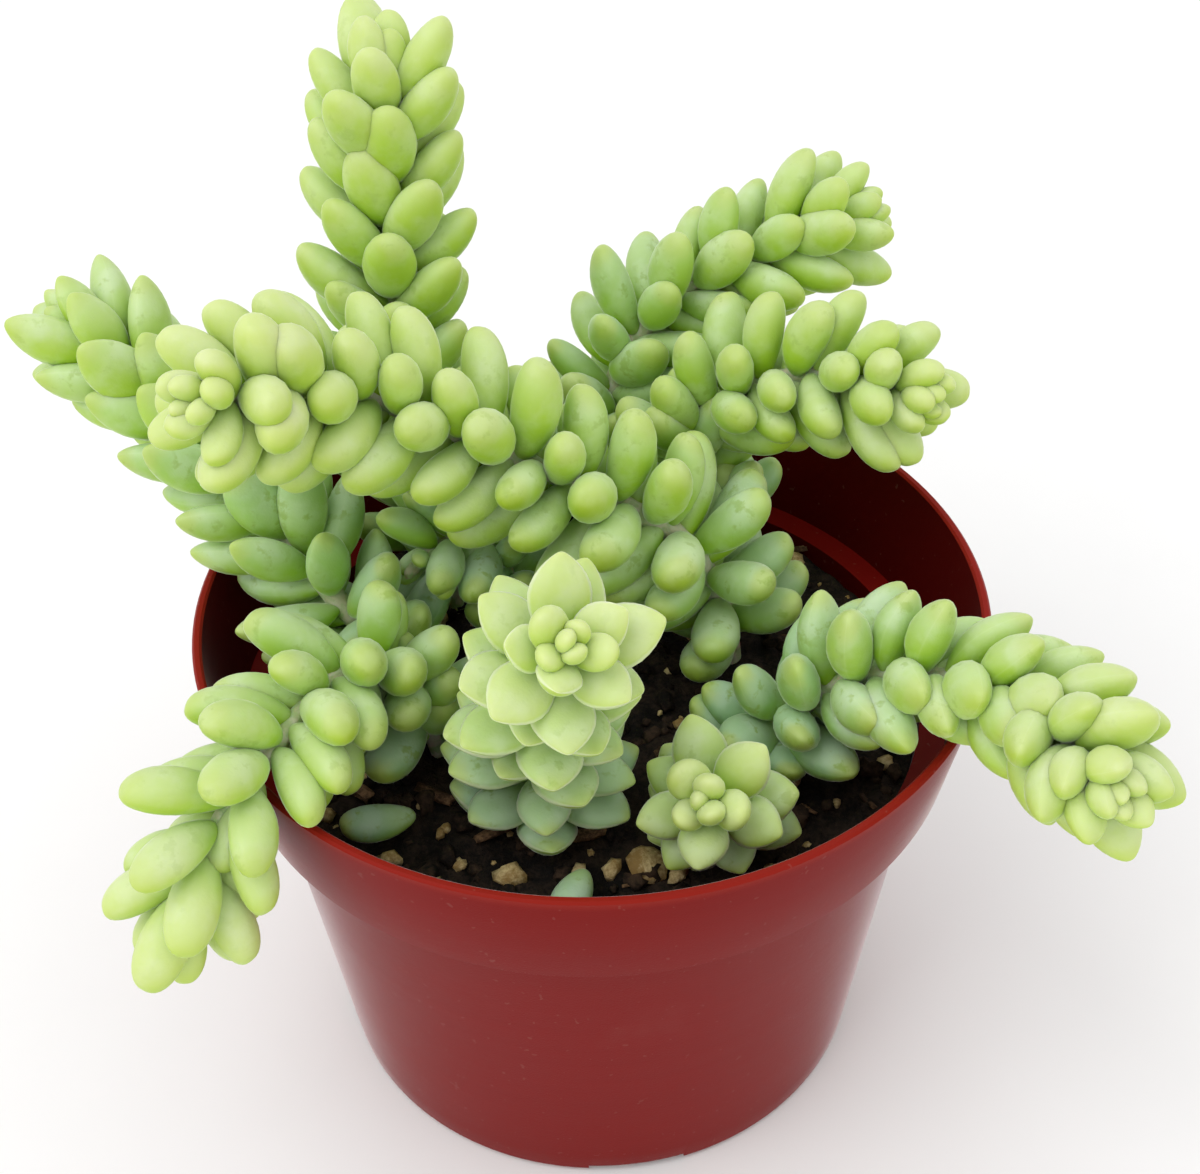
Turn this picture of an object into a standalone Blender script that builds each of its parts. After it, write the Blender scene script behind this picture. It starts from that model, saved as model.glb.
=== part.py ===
"""A potted burro's tail: ten leafy stems rooted in the soil of a plastic nursery pot.

Run it with: blender --background --python part.py
Units are metres, +Z is up, and the origin is the middle of the pot's base.
"""
import math
import random

import bmesh
import bpy
import numpy as np
from mathutils import Matrix, Vector

# ------------------------------------------------------------------ pot
POT_RADIUS = 0.0540          # outside of the lip
POT_HEIGHT = 0.0765
POT_WALL = 0.0013
LIP_ROUND = 0.25             # rounding of the lip, of the wall
POT_STEPS = 32               # facets round the pot
BAND_FOOT_RADIUS = 0.0506    # lower edge of the deep band under the lip
BAND_FOOT_HEIGHT = 0.0585
NECK_RADIUS = 0.0470         # wall just under the band
BASE_RADIUS = 0.0396
BASE_ROUND = 0.0010          # rounding where the wall meets the foot
FOOT_WIDTH = 0.0044          # width of the ring that the pot stands on
FLOOR_RISE = 0.0018          # underside of the floor above the table
FLOOR_THICKNESS = 0.0015
PAD_RADIUS = 0.0090          # flat pad in the middle of the underside
NOTCH_COUNT = 4              # shallow gaps in the foot ring
NOTCH_WIDTH = 0.0140
NOTCH_RISE = 0.94            # height of a gap, of the height of the floor above the table
NOTCH_FIRST_ANGLE = math.radians(-83.0)
DRAIN_COUNT = 4
DRAIN_RADIUS = 0.0035
DRAIN_CIRCLE = 0.0240
DRAIN_SIDES = 12

# ------------------------------------------------------------------ soil
SOIL_HEIGHT = 0.0570         # soil at the wall
SOIL_MOUND = 0.0012          # how much higher it is in the middle
SOIL_RELIEF = 0.0004
SOIL_WAVES = (410.0, 370.0, 760.0)   # radians a metre, of the waves that make the relief
FINE_WAVE = 0.6              # height of the last wave, of the others
SOIL_SIDES = 26
SOIL_RINGS = 4
GRIT_COUNT = 8
GRIT_RADIUS = 0.0021
GRIT_MARGIN = 0.0040         # distance of the grit from the wall, at least
GRIT_SIZES = (0.6, 1.0)
GRIT_SPREAD = 0.3            # how far each lump strays from its turn, in radians
GRIT_FLATNESS = (0.8, 0.6)   # width and height of a lump, of its length

GAP = 0.0003                 # air kept between neighbouring pieces
HOLE_SLACK = 0.0009          # air round a root in its hole
HOLE_SIDES = 6

# ------------------------------------------------------------------ stems and leaves
STALK_RADIUS = 0.0018
STALK_TIP_RADIUS = 0.0009
STALK_STEP = 0.0080          # distance between the rings of a stalk
BALL_STEP = 0.0015           # distance between the balls that fill a stalk
ROOT_DEPTH = 0.0070          # how far a stalk goes down into the soil
GOLDEN_ANGLE = math.radians(137.508)
LINE_STEP = 0.00025          # spacing of the points that describe a stalk's middle line
CURVE_STEPS = 24             # points between two of a route, before they are spaced evenly
WAY_POINTS = 3               # a stalk's direction is taken over this many points each way
LEAF_SIDES = 4
LEAF_FULLNESS = 1.14         # a four-sided leaf is this much wider, to hold a round one's bulk
LEAF_RINGS = (0.0, 0.34, 0.78, 1.0)
THINNING = 3                 # every third leaf is left out of the solids
LEAF_GAP = 0.0006            # air kept between a round leaf and other pieces
LEAF_BEND = 0.30             # rise of its tip towards the stem's tip, of its thickness
BUD_SIZE = 0.28              # youngest leaf at the tip, of a grown leaf
BUD_THICKNESS = 0.98         # of its width
BUD_ANGLE = math.radians(14.0)
BUD_REACH = 0.0075           # distance from the tip over which leaves open
OPENING = 0.7                # below one, leaves open quickly at first
GROWING = 0.8                # below one, leaves grow quickly at first
DROOP_REACH = 0.060          # distance from the tip at which they droop fully
FIRST_LEAF = 0.0006          # distance of the youngest leaf from the tip
TIP_REACH = 0.010            # distance from the tip over which leaves stand closer
TIP_PITCH = 0.55             # their distance at the tip, of the full pitch
BUD_BREADTH = 1.25           # width of a bud compared with a grown leaf's
SPIRAL_START = Vector((0.30, 1.0, 0.20))
TURN_SPREAD = 0.22           # small random differences, in radians or as shares
ANGLE_SPREAD = 0.14
LENGTH_SPREAD = (0.90, 1.08)
WIDTH_SPREAD = 0.05
BALL_SHARES = (0.26, 0.40, 0.54, 0.68, 0.82, 0.93)   # where balls fill a leaf
TRIED_SIZES = (1.0, 0.88, 0.76, 0.64)        # how a crowded leaf may change
TRIED_LIFTS = (0.0, 0.2, 0.4, -0.2, 0.6, -0.4)
TRIED_TURNS = (0.0, 0.25, -0.25, 0.5, -0.5)
FALLEN_WIDTH = 0.55          # of its length
FALLEN_THICKNESS = 0.85      # of its width
FALLEN_GAP = 0.0012          # a fallen leaf's height above the soil
LEAF_KINDS = {               # how far out a leaf is widest, and how slender its ends are
    "plump": (1.36, 0.375),
    "oval": (1.26, 0.45),
    "pointed": (1.18, 0.60),
    "scale": (1.18, 0.74),
}

# Each stem has its route from the soil to its tip; the kind of its leaves; the length of a
# grown leaf, its width of its length and its thickness of its width; its angle to the stalk
# and how much further the oldest leaves droop; the distance along the stalk between leaves;
# the bare length above the soil; the distance from the tip over which leaves grow to full
# size; and the seed of its small differences.
STEMS = {
    "stem_upright": dict(
        route=((-0.0205, 0.0200, 0.0570), (-0.0240, 0.0240, 0.0740), (-0.0265, 0.0290, 0.0920),
               (-0.0270, 0.0330, 0.1050), (-0.0265, 0.0375, 0.1195), (-0.0260, 0.0400, 0.1335)),
        kind="oval", leaf=0.0154, width=0.50, thick=0.86, angle=48, droop=12,
        pitch=0.00118, bare=0.012, grow=0.004, seed=1),
    "stem_arching": dict(
        route=((0.0200, 0.0080, 0.0570), (0.0180, 0.0070, 0.0695), (0.0120, 0.0050, 0.0830),
               (0.0000, 0.0040, 0.0920), (-0.0140, 0.0030, 0.1010), (-0.0275, 0.0010, 0.1095),
               (-0.0385, -0.0065, 0.1160), (-0.0445, -0.0155, 0.1210)),
        kind="plump", leaf=0.0147, width=0.48, thick=0.94, angle=60, droop=14,
        pitch=0.00112, bare=0.005, grow=0.011, seed=2),
    "stem_far_left": dict(
        route=((-0.0245, 0.0020, 0.0570), (-0.0280, 0.0010, 0.0660), (-0.0345, 0.0005, 0.0765),
               (-0.0415, 0.0070, 0.0835), (-0.0495, 0.0130, 0.0915), (-0.0595, 0.0200, 0.0990),
               (-0.0690, 0.0240, 0.1055)),
        kind="pointed", leaf=0.0148, width=0.52, thick=0.78, angle=46, droop=22,
        pitch=0.00122, bare=0.005, grow=0.006, seed=3),
    "stem_back": dict(
        route=((0.0090, 0.0330, 0.0570), (0.0050, 0.0360, 0.0700), (0.0035, 0.0390, 0.0830),
               (0.0095, 0.0420, 0.0940), (0.0220, 0.0450, 0.1015), (0.0385, 0.0455, 0.1090)),
        kind="oval", leaf=0.0140, width=0.50, thick=0.86, angle=54, droop=16,
        pitch=0.00114, bare=0.007, grow=0.008, seed=4),
    "stem_right": dict(
        route=((0.0230, 0.0240, 0.0570), (0.0190, 0.0250, 0.0700), (0.0145, 0.0250, 0.0835),
               (0.0200, 0.0250, 0.0920), (0.0295, 0.0220, 0.0975), (0.0375, 0.0170, 0.0995),
               (0.0440, 0.0100, 0.1020)),
        kind="plump", leaf=0.0135, width=0.50, thick=0.94, angle=60, droop=12,
        pitch=0.00108, bare=0.009, grow=0.010, seed=5),
    "stem_front_right": dict(
        route=((0.0230, -0.0120, 0.0570), (0.0270, -0.0155, 0.0700), (0.0355, -0.0195, 0.0790),
               (0.0455, -0.0260, 0.0840), (0.0540, -0.0350, 0.0860), (0.0585, -0.0500, 0.0900)),
        kind="pointed", leaf=0.0138, width=0.55, thick=0.84, angle=50, droop=18,
        pitch=0.00108, bare=0.003, grow=0.009, seed=6),
    "stem_front": dict(
        route=((-0.0075, -0.0220, 0.0570), (-0.0070, -0.0235, 0.0650), (-0.0065, -0.0260, 0.0760),
               (-0.0045, -0.0320, 0.0935), (-0.0025, -0.0400, 0.1040)),
        kind="scale", leaf=0.0131, width=0.56, thick=0.70, angle=66, droop=26,
        pitch=0.00103, bare=0.001, grow=0.009, seed=7),
    "stem_small_front": dict(
        route=((0.0160, -0.0250, 0.0570), (0.0158, -0.0275, 0.0635), (0.0149, -0.0325, 0.0700),
               (0.0138, -0.0385, 0.0765)),
        kind="scale", leaf=0.0112, width=0.60, thick=0.74, angle=74, droop=10,
        pitch=0.00116, bare=0.001, grow=0.006, seed=8),
    "stem_trailing": dict(
        route=((-0.0210, -0.0100, 0.0570), (-0.0240, -0.0120, 0.0700), (-0.0290, -0.0165, 0.0805),
               (-0.0350, -0.0255, 0.0825), (-0.0400, -0.0340, 0.0810), (-0.0450, -0.0400, 0.0775),
               (-0.0485, -0.0435, 0.0710), (-0.0505, -0.0455, 0.0650)),
        kind="plump", leaf=0.0134, width=0.49, thick=0.94, angle=58, droop=16,
        pitch=0.00116, bare=0.003, grow=0.005, seed=9),
    "stem_inner": dict(
        route=((-0.0090, 0.0080, 0.0570), (-0.0110, 0.0095, 0.0680), (-0.0140, 0.0100, 0.0775),
               (-0.0205, 0.0060, 0.0815), (-0.0250, 0.0000, 0.0810)),
        kind="oval", leaf=0.0134, width=0.49, thick=0.88, angle=60, droop=16,
        pitch=0.00126, bare=0.005, grow=0.010, seed=10),
}

# Leaves that have dropped: middle (x, y), heading of the tip in degrees, length.
FALLEN_LEAVES = {
    "leaf_fallen_left": (-0.0285, -0.0260, 200.0, 0.0105),
    "leaf_fallen_front": (-0.0030, -0.0395, 250.0, 0.0095),
    "leaf_fallen_right": (0.0330, 0.0060, 20.0, 0.0110),
}

SHARP_ANGLE = math.radians(35.0)     # edges of the pot that stay crisp
ROUGHNESS = {"pot": 0.35, "soil": 0.95, "leaf": 0.5}
COLOURS = {
    "pot": (0.30, 0.032, 0.026),
    "soil": (0.018, 0.012, 0.008),
    "young": (0.50, 0.66, 0.20),
    "old": (0.24, 0.42, 0.20),
}


def remove_everything():
    """Empty the scene of the objects that it opens with."""
    for thing in list(bpy.data.objects):
        bpy.data.objects.remove(thing, do_unlink=True)


def collection(name):
    """A collection linked to the scene."""
    made = bpy.data.collections.new(name)
    bpy.context.scene.collection.children.link(made)
    return made


def material(name, colour, roughness):
    """A Principled material of one colour."""
    made = bpy.data.materials.new(name)
    made.use_nodes = True
    shader = made.node_tree.nodes["Principled BSDF"]
    shader.inputs["Base Color"].default_value = (*colour, 1.0)
    shader.inputs["Roughness"].default_value = roughness
    made.diffuse_color = (*colour, 1.0)
    return made


def mesh_object(name, bm, home):
    """Put a bmesh into a new object in the given collection."""
    mesh = bpy.data.meshes.new(name)
    bm.to_mesh(mesh)
    bm.free()
    made = bpy.data.objects.new(name, mesh)
    home.objects.link(made)
    return made


def settle(thing):
    """Apply an object's modifiers by keeping the mesh that they give."""
    bpy.context.view_layer.update()
    graph = bpy.context.evaluated_depsgraph_get()
    mesh = bpy.data.meshes.new_from_object(thing.evaluated_get(graph))
    thing.modifiers.clear()
    thing.data = mesh


def cut(thing, cutter):
    """Subtract a cutter, which stays hidden in its own collection."""
    cutter.hide_render = True
    cutter.display_type = "WIRE"
    step = thing.modifiers.new("cut_" + cutter.name, "BOOLEAN")
    step.operation = "DIFFERENCE"
    step.solver = "EXACT"
    step.object = cutter


# ------------------------------------------------------------------ pot
def wall_radius(height):
    """Outer radius of the tapering wall below the band."""
    return BASE_RADIUS + (NECK_RADIUS - BASE_RADIUS) * height / BAND_FOOT_HEIGHT


def band_radius(height):
    """Outer radius of the band, which flares up to the lip."""
    share = (height - BAND_FOOT_HEIGHT) / (POT_HEIGHT - BAND_FOOT_HEIGHT)
    return BAND_FOOT_RADIUS + (POT_RADIUS - BAND_FOOT_RADIUS) * share


def pot_profile():
    """Half section of the pot as (radius, height), from the floor inside to the pad below."""
    floor = FLOOR_RISE + FLOOR_THICKNESS
    ledge = BAND_FOOT_HEIGHT + POT_WALL
    lip = LIP_ROUND * POT_WALL
    inner_lip = POT_RADIUS - POT_WALL
    foot = BASE_RADIUS - BASE_ROUND
    return (
        (0.0, floor),
        (wall_radius(floor) - POT_WALL, floor),
        (wall_radius(ledge) - POT_WALL, ledge),
        (band_radius(ledge) - POT_WALL, ledge),
        (inner_lip, POT_HEIGHT - lip),
        (inner_lip + lip, POT_HEIGHT),
        (POT_RADIUS - lip, POT_HEIGHT),
        (POT_RADIUS, POT_HEIGHT - lip),
        (BAND_FOOT_RADIUS, BAND_FOOT_HEIGHT + lip),
        (BAND_FOOT_RADIUS - lip, BAND_FOOT_HEIGHT),
        (NECK_RADIUS, BAND_FOOT_HEIGHT),
        (wall_radius(BASE_ROUND), BASE_ROUND),
        (foot, 0.0),
        (foot - FOOT_WIDTH, 0.0),
        (foot - FOOT_WIDTH, FLOOR_RISE),
        (PAD_RADIUS, FLOOR_RISE),
        (PAD_RADIUS, 0.0),
        (0.0, 0.0),
    )


def turned(name, profile, steps, home):
    """Turn a half section about Z."""
    bm = bmesh.new()
    corners = [bm.verts.new((radius, 0.0, height)) for radius, height in profile]
    for first, second in zip(corners, corners[1:]):
        bm.edges.new((first, second))
    made = mesh_object(name, bm, home)
    screw = made.modifiers.new("turn", "SCREW")
    screw.axis = "Z"
    screw.angle = math.tau
    screw.steps = steps
    screw.render_steps = steps
    screw.use_merge_vertices = True
    screw.merge_threshold = 0.00001
    return made


def add_pot(home, cutters):
    """The pot: a turned shell with gaps in its foot and holes in its floor."""
    pot = turned("pot", pot_profile(), POT_STEPS, home)
    bm = bmesh.new()
    for number in range(NOTCH_COUNT):
        angle = NOTCH_FIRST_ANGLE + number * math.tau / NOTCH_COUNT
        middle = Vector((BASE_RADIUS, 0.0, 0.0))
        size = Matrix.Diagonal((3.0 * FOOT_WIDTH, NOTCH_WIDTH, 2.0 * NOTCH_RISE * FLOOR_RISE, 1.0))
        place = Matrix.Rotation(angle, 4, "Z") @ Matrix.Translation(middle) @ size
        bmesh.ops.create_cube(bm, size=1.0, matrix=place)
    for number in range(DRAIN_COUNT):
        angle = NOTCH_FIRST_ANGLE + (number + 0.5) * math.tau / DRAIN_COUNT
        middle = Vector((DRAIN_CIRCLE, 0.0, FLOOR_RISE + FLOOR_THICKNESS / 2.0))
        place = Matrix.Rotation(angle, 4, "Z") @ Matrix.Translation(middle)
        bmesh.ops.create_cone(bm, cap_ends=True, segments=DRAIN_SIDES, radius1=DRAIN_RADIUS,
                              radius2=DRAIN_RADIUS, depth=3.0 * FLOOR_THICKNESS, matrix=place)
    cut(pot, mesh_object("pot_openings", bm, cutters))
    settle(pot)
    return pot


# ------------------------------------------------------------------ soil
def soil_height(x, y):
    """Height of the soil's loose surface."""
    reach = min(1.0, math.hypot(x, y) / (NECK_RADIUS - POT_WALL))
    swell = SOIL_MOUND * (1.0 - reach * reach)
    first, second, last = SOIL_WAVES
    relief = math.sin(first * x) * math.cos(second * y) + FINE_WAVE * math.sin(last * (x - y))
    return SOIL_HEIGHT + swell + SOIL_RELIEF * relief


def soil_profile():
    """Half section of the soil, a gap away from the pot's wall and floor."""
    floor = FLOOR_RISE + FLOOR_THICKNESS + GAP
    side = POT_WALL + GAP
    brim = wall_radius(SOIL_HEIGHT) - side
    top = [(brim * ring / SOIL_RINGS, SOIL_HEIGHT) for ring in range(SOIL_RINGS + 1)]
    return (*top, (wall_radius(floor) - side, floor), (0.0, floor))


def grit(home):
    """The larger grit that lies half sunk in the soil, as flattened lumps."""
    draw = random.Random(21)
    for number in range(GRIT_COUNT):
        distance = (NECK_RADIUS - POT_WALL - GRIT_MARGIN) * math.sqrt(draw.uniform(0.2, 1.0))
        angle = number * GOLDEN_ANGLE + draw.uniform(-GRIT_SPREAD, GRIT_SPREAD)
        radius = GRIT_RADIUS * draw.uniform(*GRIT_SIZES)
        x = distance * math.cos(angle)
        y = distance * math.sin(angle)
        place = Matrix.Translation((x, y, soil_height(x, y)))
        width, height = (radius * share for share in GRIT_FLATNESS)
        shape = Matrix.Diagonal((radius, width, height, 1.0))
        turn = Matrix.Rotation(draw.uniform(0.0, math.pi), 4, "Z")
        bm = bmesh.new()
        bmesh.ops.create_icosphere(bm, subdivisions=1, radius=1.0, matrix=place @ turn @ shape)
        mesh_object("grit", bm, home)


def add_soil(home, cutters):
    """Soil that fills the pot: a turned plug with a raised, gritty top and root holes."""
    soil = turned("soil", soil_profile(), SOIL_SIDES, home)
    settle(soil)
    for vertex in soil.data.vertices:
        if vertex.co.z > SOIL_HEIGHT - GAP:
            vertex.co.z = soil_height(vertex.co.x, vertex.co.y)
    lumps = collection("grit_lumps")
    grit(lumps)
    fuse(soil, lumps)
    depth = 2.0 * (ROOT_DEPTH + GAP)
    hole = STALK_RADIUS + HOLE_SLACK
    bm = bmesh.new()
    for stem in STEMS.values():
        x, y, z = stem["route"][0]
        bmesh.ops.create_cone(bm, cap_ends=True, segments=HOLE_SIDES, radius1=hole, radius2=hole,
                              depth=depth, matrix=Matrix.Translation((x, y, z)))
    cut(soil, mesh_object("root_holes", bm, cutters))
    settle(soil)
    return soil


def fuse(body, repeats):
    """Join everything in a collection to a body, then drop the collection."""
    step = body.modifiers.new("repeats", "BOOLEAN")
    step.operation = "UNION"
    step.operand_type = "COLLECTION"
    step.collection = repeats
    step.solver = "EXACT"
    settle(body)
    keep_largest_shell(body)
    for piece in list(repeats.objects):
        bpy.data.objects.remove(piece, do_unlink=True)
    bpy.data.collections.remove(repeats)


def keep_largest_shell(body):
    """Drop loose scraps, and fill pockets that the joining has sealed."""
    bm = bmesh.new()
    bm.from_mesh(body.data)
    waiting = set(bm.verts)
    shells = []
    while waiting:
        shell = set()
        edge_of_search = [waiting.pop()]
        while edge_of_search:
            vertex = edge_of_search.pop()
            shell.add(vertex)
            for edge in vertex.link_edges:
                neighbour = edge.other_vert(vertex)
                if neighbour in waiting:
                    waiting.remove(neighbour)
                    edge_of_search.append(neighbour)
        shells.append(shell)
    largest = max(shells, key=len)
    scraps = [vertex for vertex in bm.verts if vertex not in largest]
    bmesh.ops.delete(bm, geom=scraps, context="VERTS")
    bm.to_mesh(body.data)
    bm.free()


# ------------------------------------------------------------------ stalks
def smooth_line(points):
    """Evenly spaced points along a smooth curve through the given ones."""
    given = [Vector(point) for point in points]
    ends = [2.0 * given[0] - given[1], *given, 2.0 * given[-1] - given[-2]]
    fine = []
    for a, b, c, d in zip(ends, ends[1:], ends[2:], ends[3:]):
        for step in range(CURVE_STEPS):
            t = step / CURVE_STEPS
            bend = (2.0 * a - 5.0 * b + 4.0 * c - d) * t * t + (3.0 * b - a - 3.0 * c + d) * t ** 3
            fine.append(0.5 * (2.0 * b + (c - a) * t + bend))
    fine.append(given[-1])
    walked = [0.0]
    for first, second in zip(fine, fine[1:]):
        walked.append(walked[-1] + (second - first).length)
    count = round(walked[-1] / LINE_STEP)
    even = []
    place = 0
    for number in range(count + 1):
        goal = walked[-1] * number / count
        while place < len(fine) - 2 and walked[place + 1] < goal:
            place += 1
        share = (goal - walked[place]) / (walked[place + 1] - walked[place])
        even.append(fine[place].lerp(fine[place + 1], share))
    return even


def stalk_line(stem):
    """A stalk's middle line, from the end of its root to its tip."""
    first = Vector(stem["route"][0])
    return smooth_line((first - Vector((0.0, 0.0, ROOT_DEPTH)), *stem["route"]))


def stalk_radius(share):
    """Radius at a share of the way from the root to the tip."""
    return STALK_RADIUS + (STALK_TIP_RADIUS - STALK_RADIUS) * share ** 2


def add_stalk(name, line, home):
    """A stalk as a tapering tube with closed ends."""
    stride = round(STALK_STEP / LINE_STEP)
    chosen = line[::stride]
    chosen[-1] = line[-1]
    curve = bpy.data.curves.new(name + "_line", "CURVE")
    curve.dimensions = "3D"
    curve.bevel_depth = 1.0
    curve.bevel_resolution = 0
    curve.use_fill_caps = True
    spline = curve.splines.new("POLY")
    spline.points.add(len(chosen) - 1)
    for number, point in enumerate(chosen):
        spline.points[number].co = (*point, 1.0)
        spline.points[number].radius = stalk_radius(number / (len(chosen) - 1))
    tube = bpy.data.objects.new(name + "_tube", curve)
    home.objects.link(tube)
    bpy.context.view_layer.update()
    graph = bpy.context.evaluated_depsgraph_get()
    mesh = bpy.data.meshes.new_from_object(tube.evaluated_get(graph))
    bpy.data.objects.remove(tube, do_unlink=True)
    bm = bmesh.new()
    bm.from_mesh(mesh)
    bmesh.ops.remove_doubles(bm, verts=bm.verts, dist=0.00001)
    bmesh.ops.recalc_face_normals(bm, faces=bm.faces)
    bpy.data.meshes.remove(mesh)
    return mesh_object(name, bm, home)


# ------------------------------------------------------------------ leaves
class Leaf:
    """One fat leaf: its kind, its root, the way it points, its upper side and its size."""

    def __init__(self, kind, root, along, upper, length, width, thickness):
        self.kind = kind
        self.root = root
        self.along = along.normalized()
        self.upper = (upper - self.along * upper.dot(self.along)).normalized()
        self.length = length
        self.width = width
        self.thickness = thickness

    def middle(self, share):
        """Point on its bent middle line."""
        rise = self.upper * (LEAF_BEND * self.thickness * share * share)
        return self.root + self.along * (self.length * share) + rise

    def balls(self):
        """Balls (x, y, z, radius) that fill it, beyond its narrow root."""
        filled = []
        for share in BALL_SHARES:
            radius = 0.5 * self.width * leaf_radius(self.kind, share)
            filled.append((*self.middle(share), radius))
        return np.array(filled)

    def swung(self, lift, turn, size, stalk_way):
        """A copy swung towards the stem's tip, turned round the stalk and shrunk."""
        hinge = self.along.cross(stalk_way)
        move = Matrix.Rotation(turn, 3, stalk_way) @ Matrix.Rotation(lift, 3, hinge)
        return Leaf(self.kind, self.root, move @ self.along, move @ self.upper,
                    self.length * size, self.width * size, self.thickness * size)

    def matrix(self):
        """Places the leaf of unit size."""
        side = self.upper.cross(self.along)
        thick = self.upper * (self.thickness * LEAF_FULLNESS)
        wide = side * (self.width * LEAF_FULLNESS)
        long = self.along * self.length
        turned_to = Matrix((wide, thick, long)).transposed()
        return Matrix.Translation(self.root) @ turned_to.to_4x4()


def leaf_radius(kind, share):
    """Radius of the leaf's outline at a share of its length, of its half width."""
    outward, slender = LEAF_KINDS[kind]
    return max(0.0, math.sin(math.pi * share ** outward)) ** slender


def unit_leaf(kind):
    """Mesh of a leaf of unit length, width and thickness: a sphere drawn out to a teardrop."""
    bm = bmesh.new()
    bmesh.ops.create_uvsphere(bm, u_segments=LEAF_SIDES, v_segments=len(LEAF_RINGS) - 1,
                              radius=1.0)
    levels = sorted({round(vertex.co.z, 4) for vertex in bm.verts})
    for vertex in bm.verts:
        along = LEAF_RINGS[levels.index(round(vertex.co.z, 4))]
        is_end = along in (LEAF_RINGS[0], LEAF_RINGS[-1])
        way = Vector((0.0, 0.0)) if is_end else vertex.co.xy.normalized()
        radius = 0.5 * leaf_radius(kind, along)
        vertex.co = (radius * way.x, radius * way.y + LEAF_BEND * along * along, along)
    mesh = bpy.data.meshes.new(kind + "_leaf")
    bm.to_mesh(mesh)
    bm.free()
    return mesh


def leaves_on(stem, line):
    """Leaves of a stem from its tip down, set in the spiral that the golden angle makes."""
    draw = random.Random(stem["seed"])
    leafy = LINE_STEP * (len(line) - 1) - ROOT_DEPTH - stem["bare"]
    reach = FIRST_LEAF
    number = 0
    while reach < leafy:
        spot = len(line) - 1 - round(reach / LINE_STEP)
        ahead = min(spot + WAY_POINTS, len(line) - 1)
        way = (line[ahead] - line[spot - WAY_POINTS]).normalized()
        across = way.cross(SPIRAL_START).normalized()
        turn = number * GOLDEN_ANGLE + draw.uniform(-TURN_SPREAD, TURN_SPREAD)
        out = Matrix.Rotation(turn, 3, way) @ across
        grown = min(1.0, BUD_SIZE + (1.0 - BUD_SIZE) * (reach / stem["grow"]) ** GROWING)
        opened = min(1.0, reach / BUD_REACH) ** OPENING
        angle = BUD_ANGLE + (math.radians(stem["angle"]) - BUD_ANGLE) * opened
        angle += math.radians(stem["droop"]) * min(1.0, reach / DROOP_REACH)
        angle += draw.uniform(-ANGLE_SPREAD, ANGLE_SPREAD)
        length = stem["leaf"] * grown * draw.uniform(*LENGTH_SPREAD)
        width = length * stem["width"] * draw.uniform(1.0 - WIDTH_SPREAD, 1.0 + WIDTH_SPREAD)
        width *= BUD_BREADTH + (1.0 - BUD_BREADTH) * grown
        along = math.cos(angle) * way + math.sin(angle) * out
        upper = math.sin(angle) * way - math.cos(angle) * out
        thickness = width * (stem["thick"] + (BUD_THICKNESS - stem["thick"]) * (1.0 - grown))
        yield Leaf(stem["kind"], line[spot], along, upper, length, width, thickness), way
        reach += stem["pitch"] * (TIP_PITCH + (1.0 - TIP_PITCH) * min(1.0, reach / TIP_REACH))
        number += 1


def fallen_leaf(x, y, heading, length):
    """A dropped leaf that lies on the soil."""
    turn = math.radians(heading)
    along = Vector((math.cos(turn), math.sin(turn), 0.0))
    width = FALLEN_WIDTH * length
    thickness = FALLEN_THICKNESS * width
    height = soil_height(x, y) + 0.5 * thickness + FALLEN_GAP
    root = Vector((x, y, height)) - along * (0.5 * length)
    return Leaf("plump", root, along, Vector((0.0, 0.0, 1.0)), length, width, thickness)


# ------------------------------------------------------------------ clearance
def wall_distance(radius, height):
    """Distance from a point (radius, height) to the pot's upper wall."""
    corners = np.array(pot_profile()[1:12])     # from the floor inside to the foot
    starts = corners[:-1]
    runs = corners[1:] - starts
    offsets = np.array((radius, height)) - starts
    shares = np.clip((offsets * runs).sum(axis=1) / (runs * runs).sum(axis=1), 0.0, 1.0)
    return np.sqrt(((offsets - runs * shares[:, None]) ** 2).sum(axis=1)).min()


def is_clear(balls, others):
    """Whether a leaf's balls keep the gap to the pot, the soil and other stems."""
    for x, y, z, radius in balls:
        across = math.hypot(x, y)
        if wall_distance(across, z) < radius + LEAF_GAP:
            return False
        if across < NECK_RADIUS and z - radius < soil_height(x, y) + LEAF_GAP:
            return False
    away = np.linalg.norm(balls[:, None, :3] - others[None, :, :3], axis=2)
    return bool((away > balls[:, None, 3] + others[None, :, 3] + LEAF_GAP).all())


def made_clear(leaf, way, others):
    """The leaf itself, or the least changed copy that touches nothing else, or None."""
    for size in TRIED_SIZES:
        for lift in TRIED_LIFTS:
            for turn in TRIED_TURNS:
                tried = leaf.swung(lift, turn, size, way)
                if is_clear(tried.balls(), others):
                    return tried
    return None


def stalk_balls(line):
    """Balls that fill a stalk above the soil."""
    stride = round(BALL_STEP / LINE_STEP)
    shares = [number / len(line) for number in range(0, len(line), stride)]
    return np.array([(*line[::stride][n], stalk_radius(share)) for n, share in enumerate(shares)])


def lay_out():
    """Every stem's stalk line and leaves, and the fallen leaves, all clear of each other."""
    lines = {name: stalk_line(stem) for name, stem in STEMS.items()}
    dropped = {name: fallen_leaf(*place) for name, place in FALLEN_LEAVES.items()}
    taken = {name: leaf.balls() for name, leaf in dropped.items()}
    taken.update({name: stalk_balls(line) for name, line in lines.items()})
    leaves = {}
    for name, stem in STEMS.items():
        others = np.vstack([balls for owner, balls in taken.items() if owner != name])
        leaves[name] = [made_clear(leaf, way, others) for leaf, way in leaves_on(stem, lines[name])]
        filled = [leaf.balls() for leaf in leaves[name] if leaf]
        taken[name] = np.vstack([taken[name], *filled])
    return lines, leaves, dropped


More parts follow.
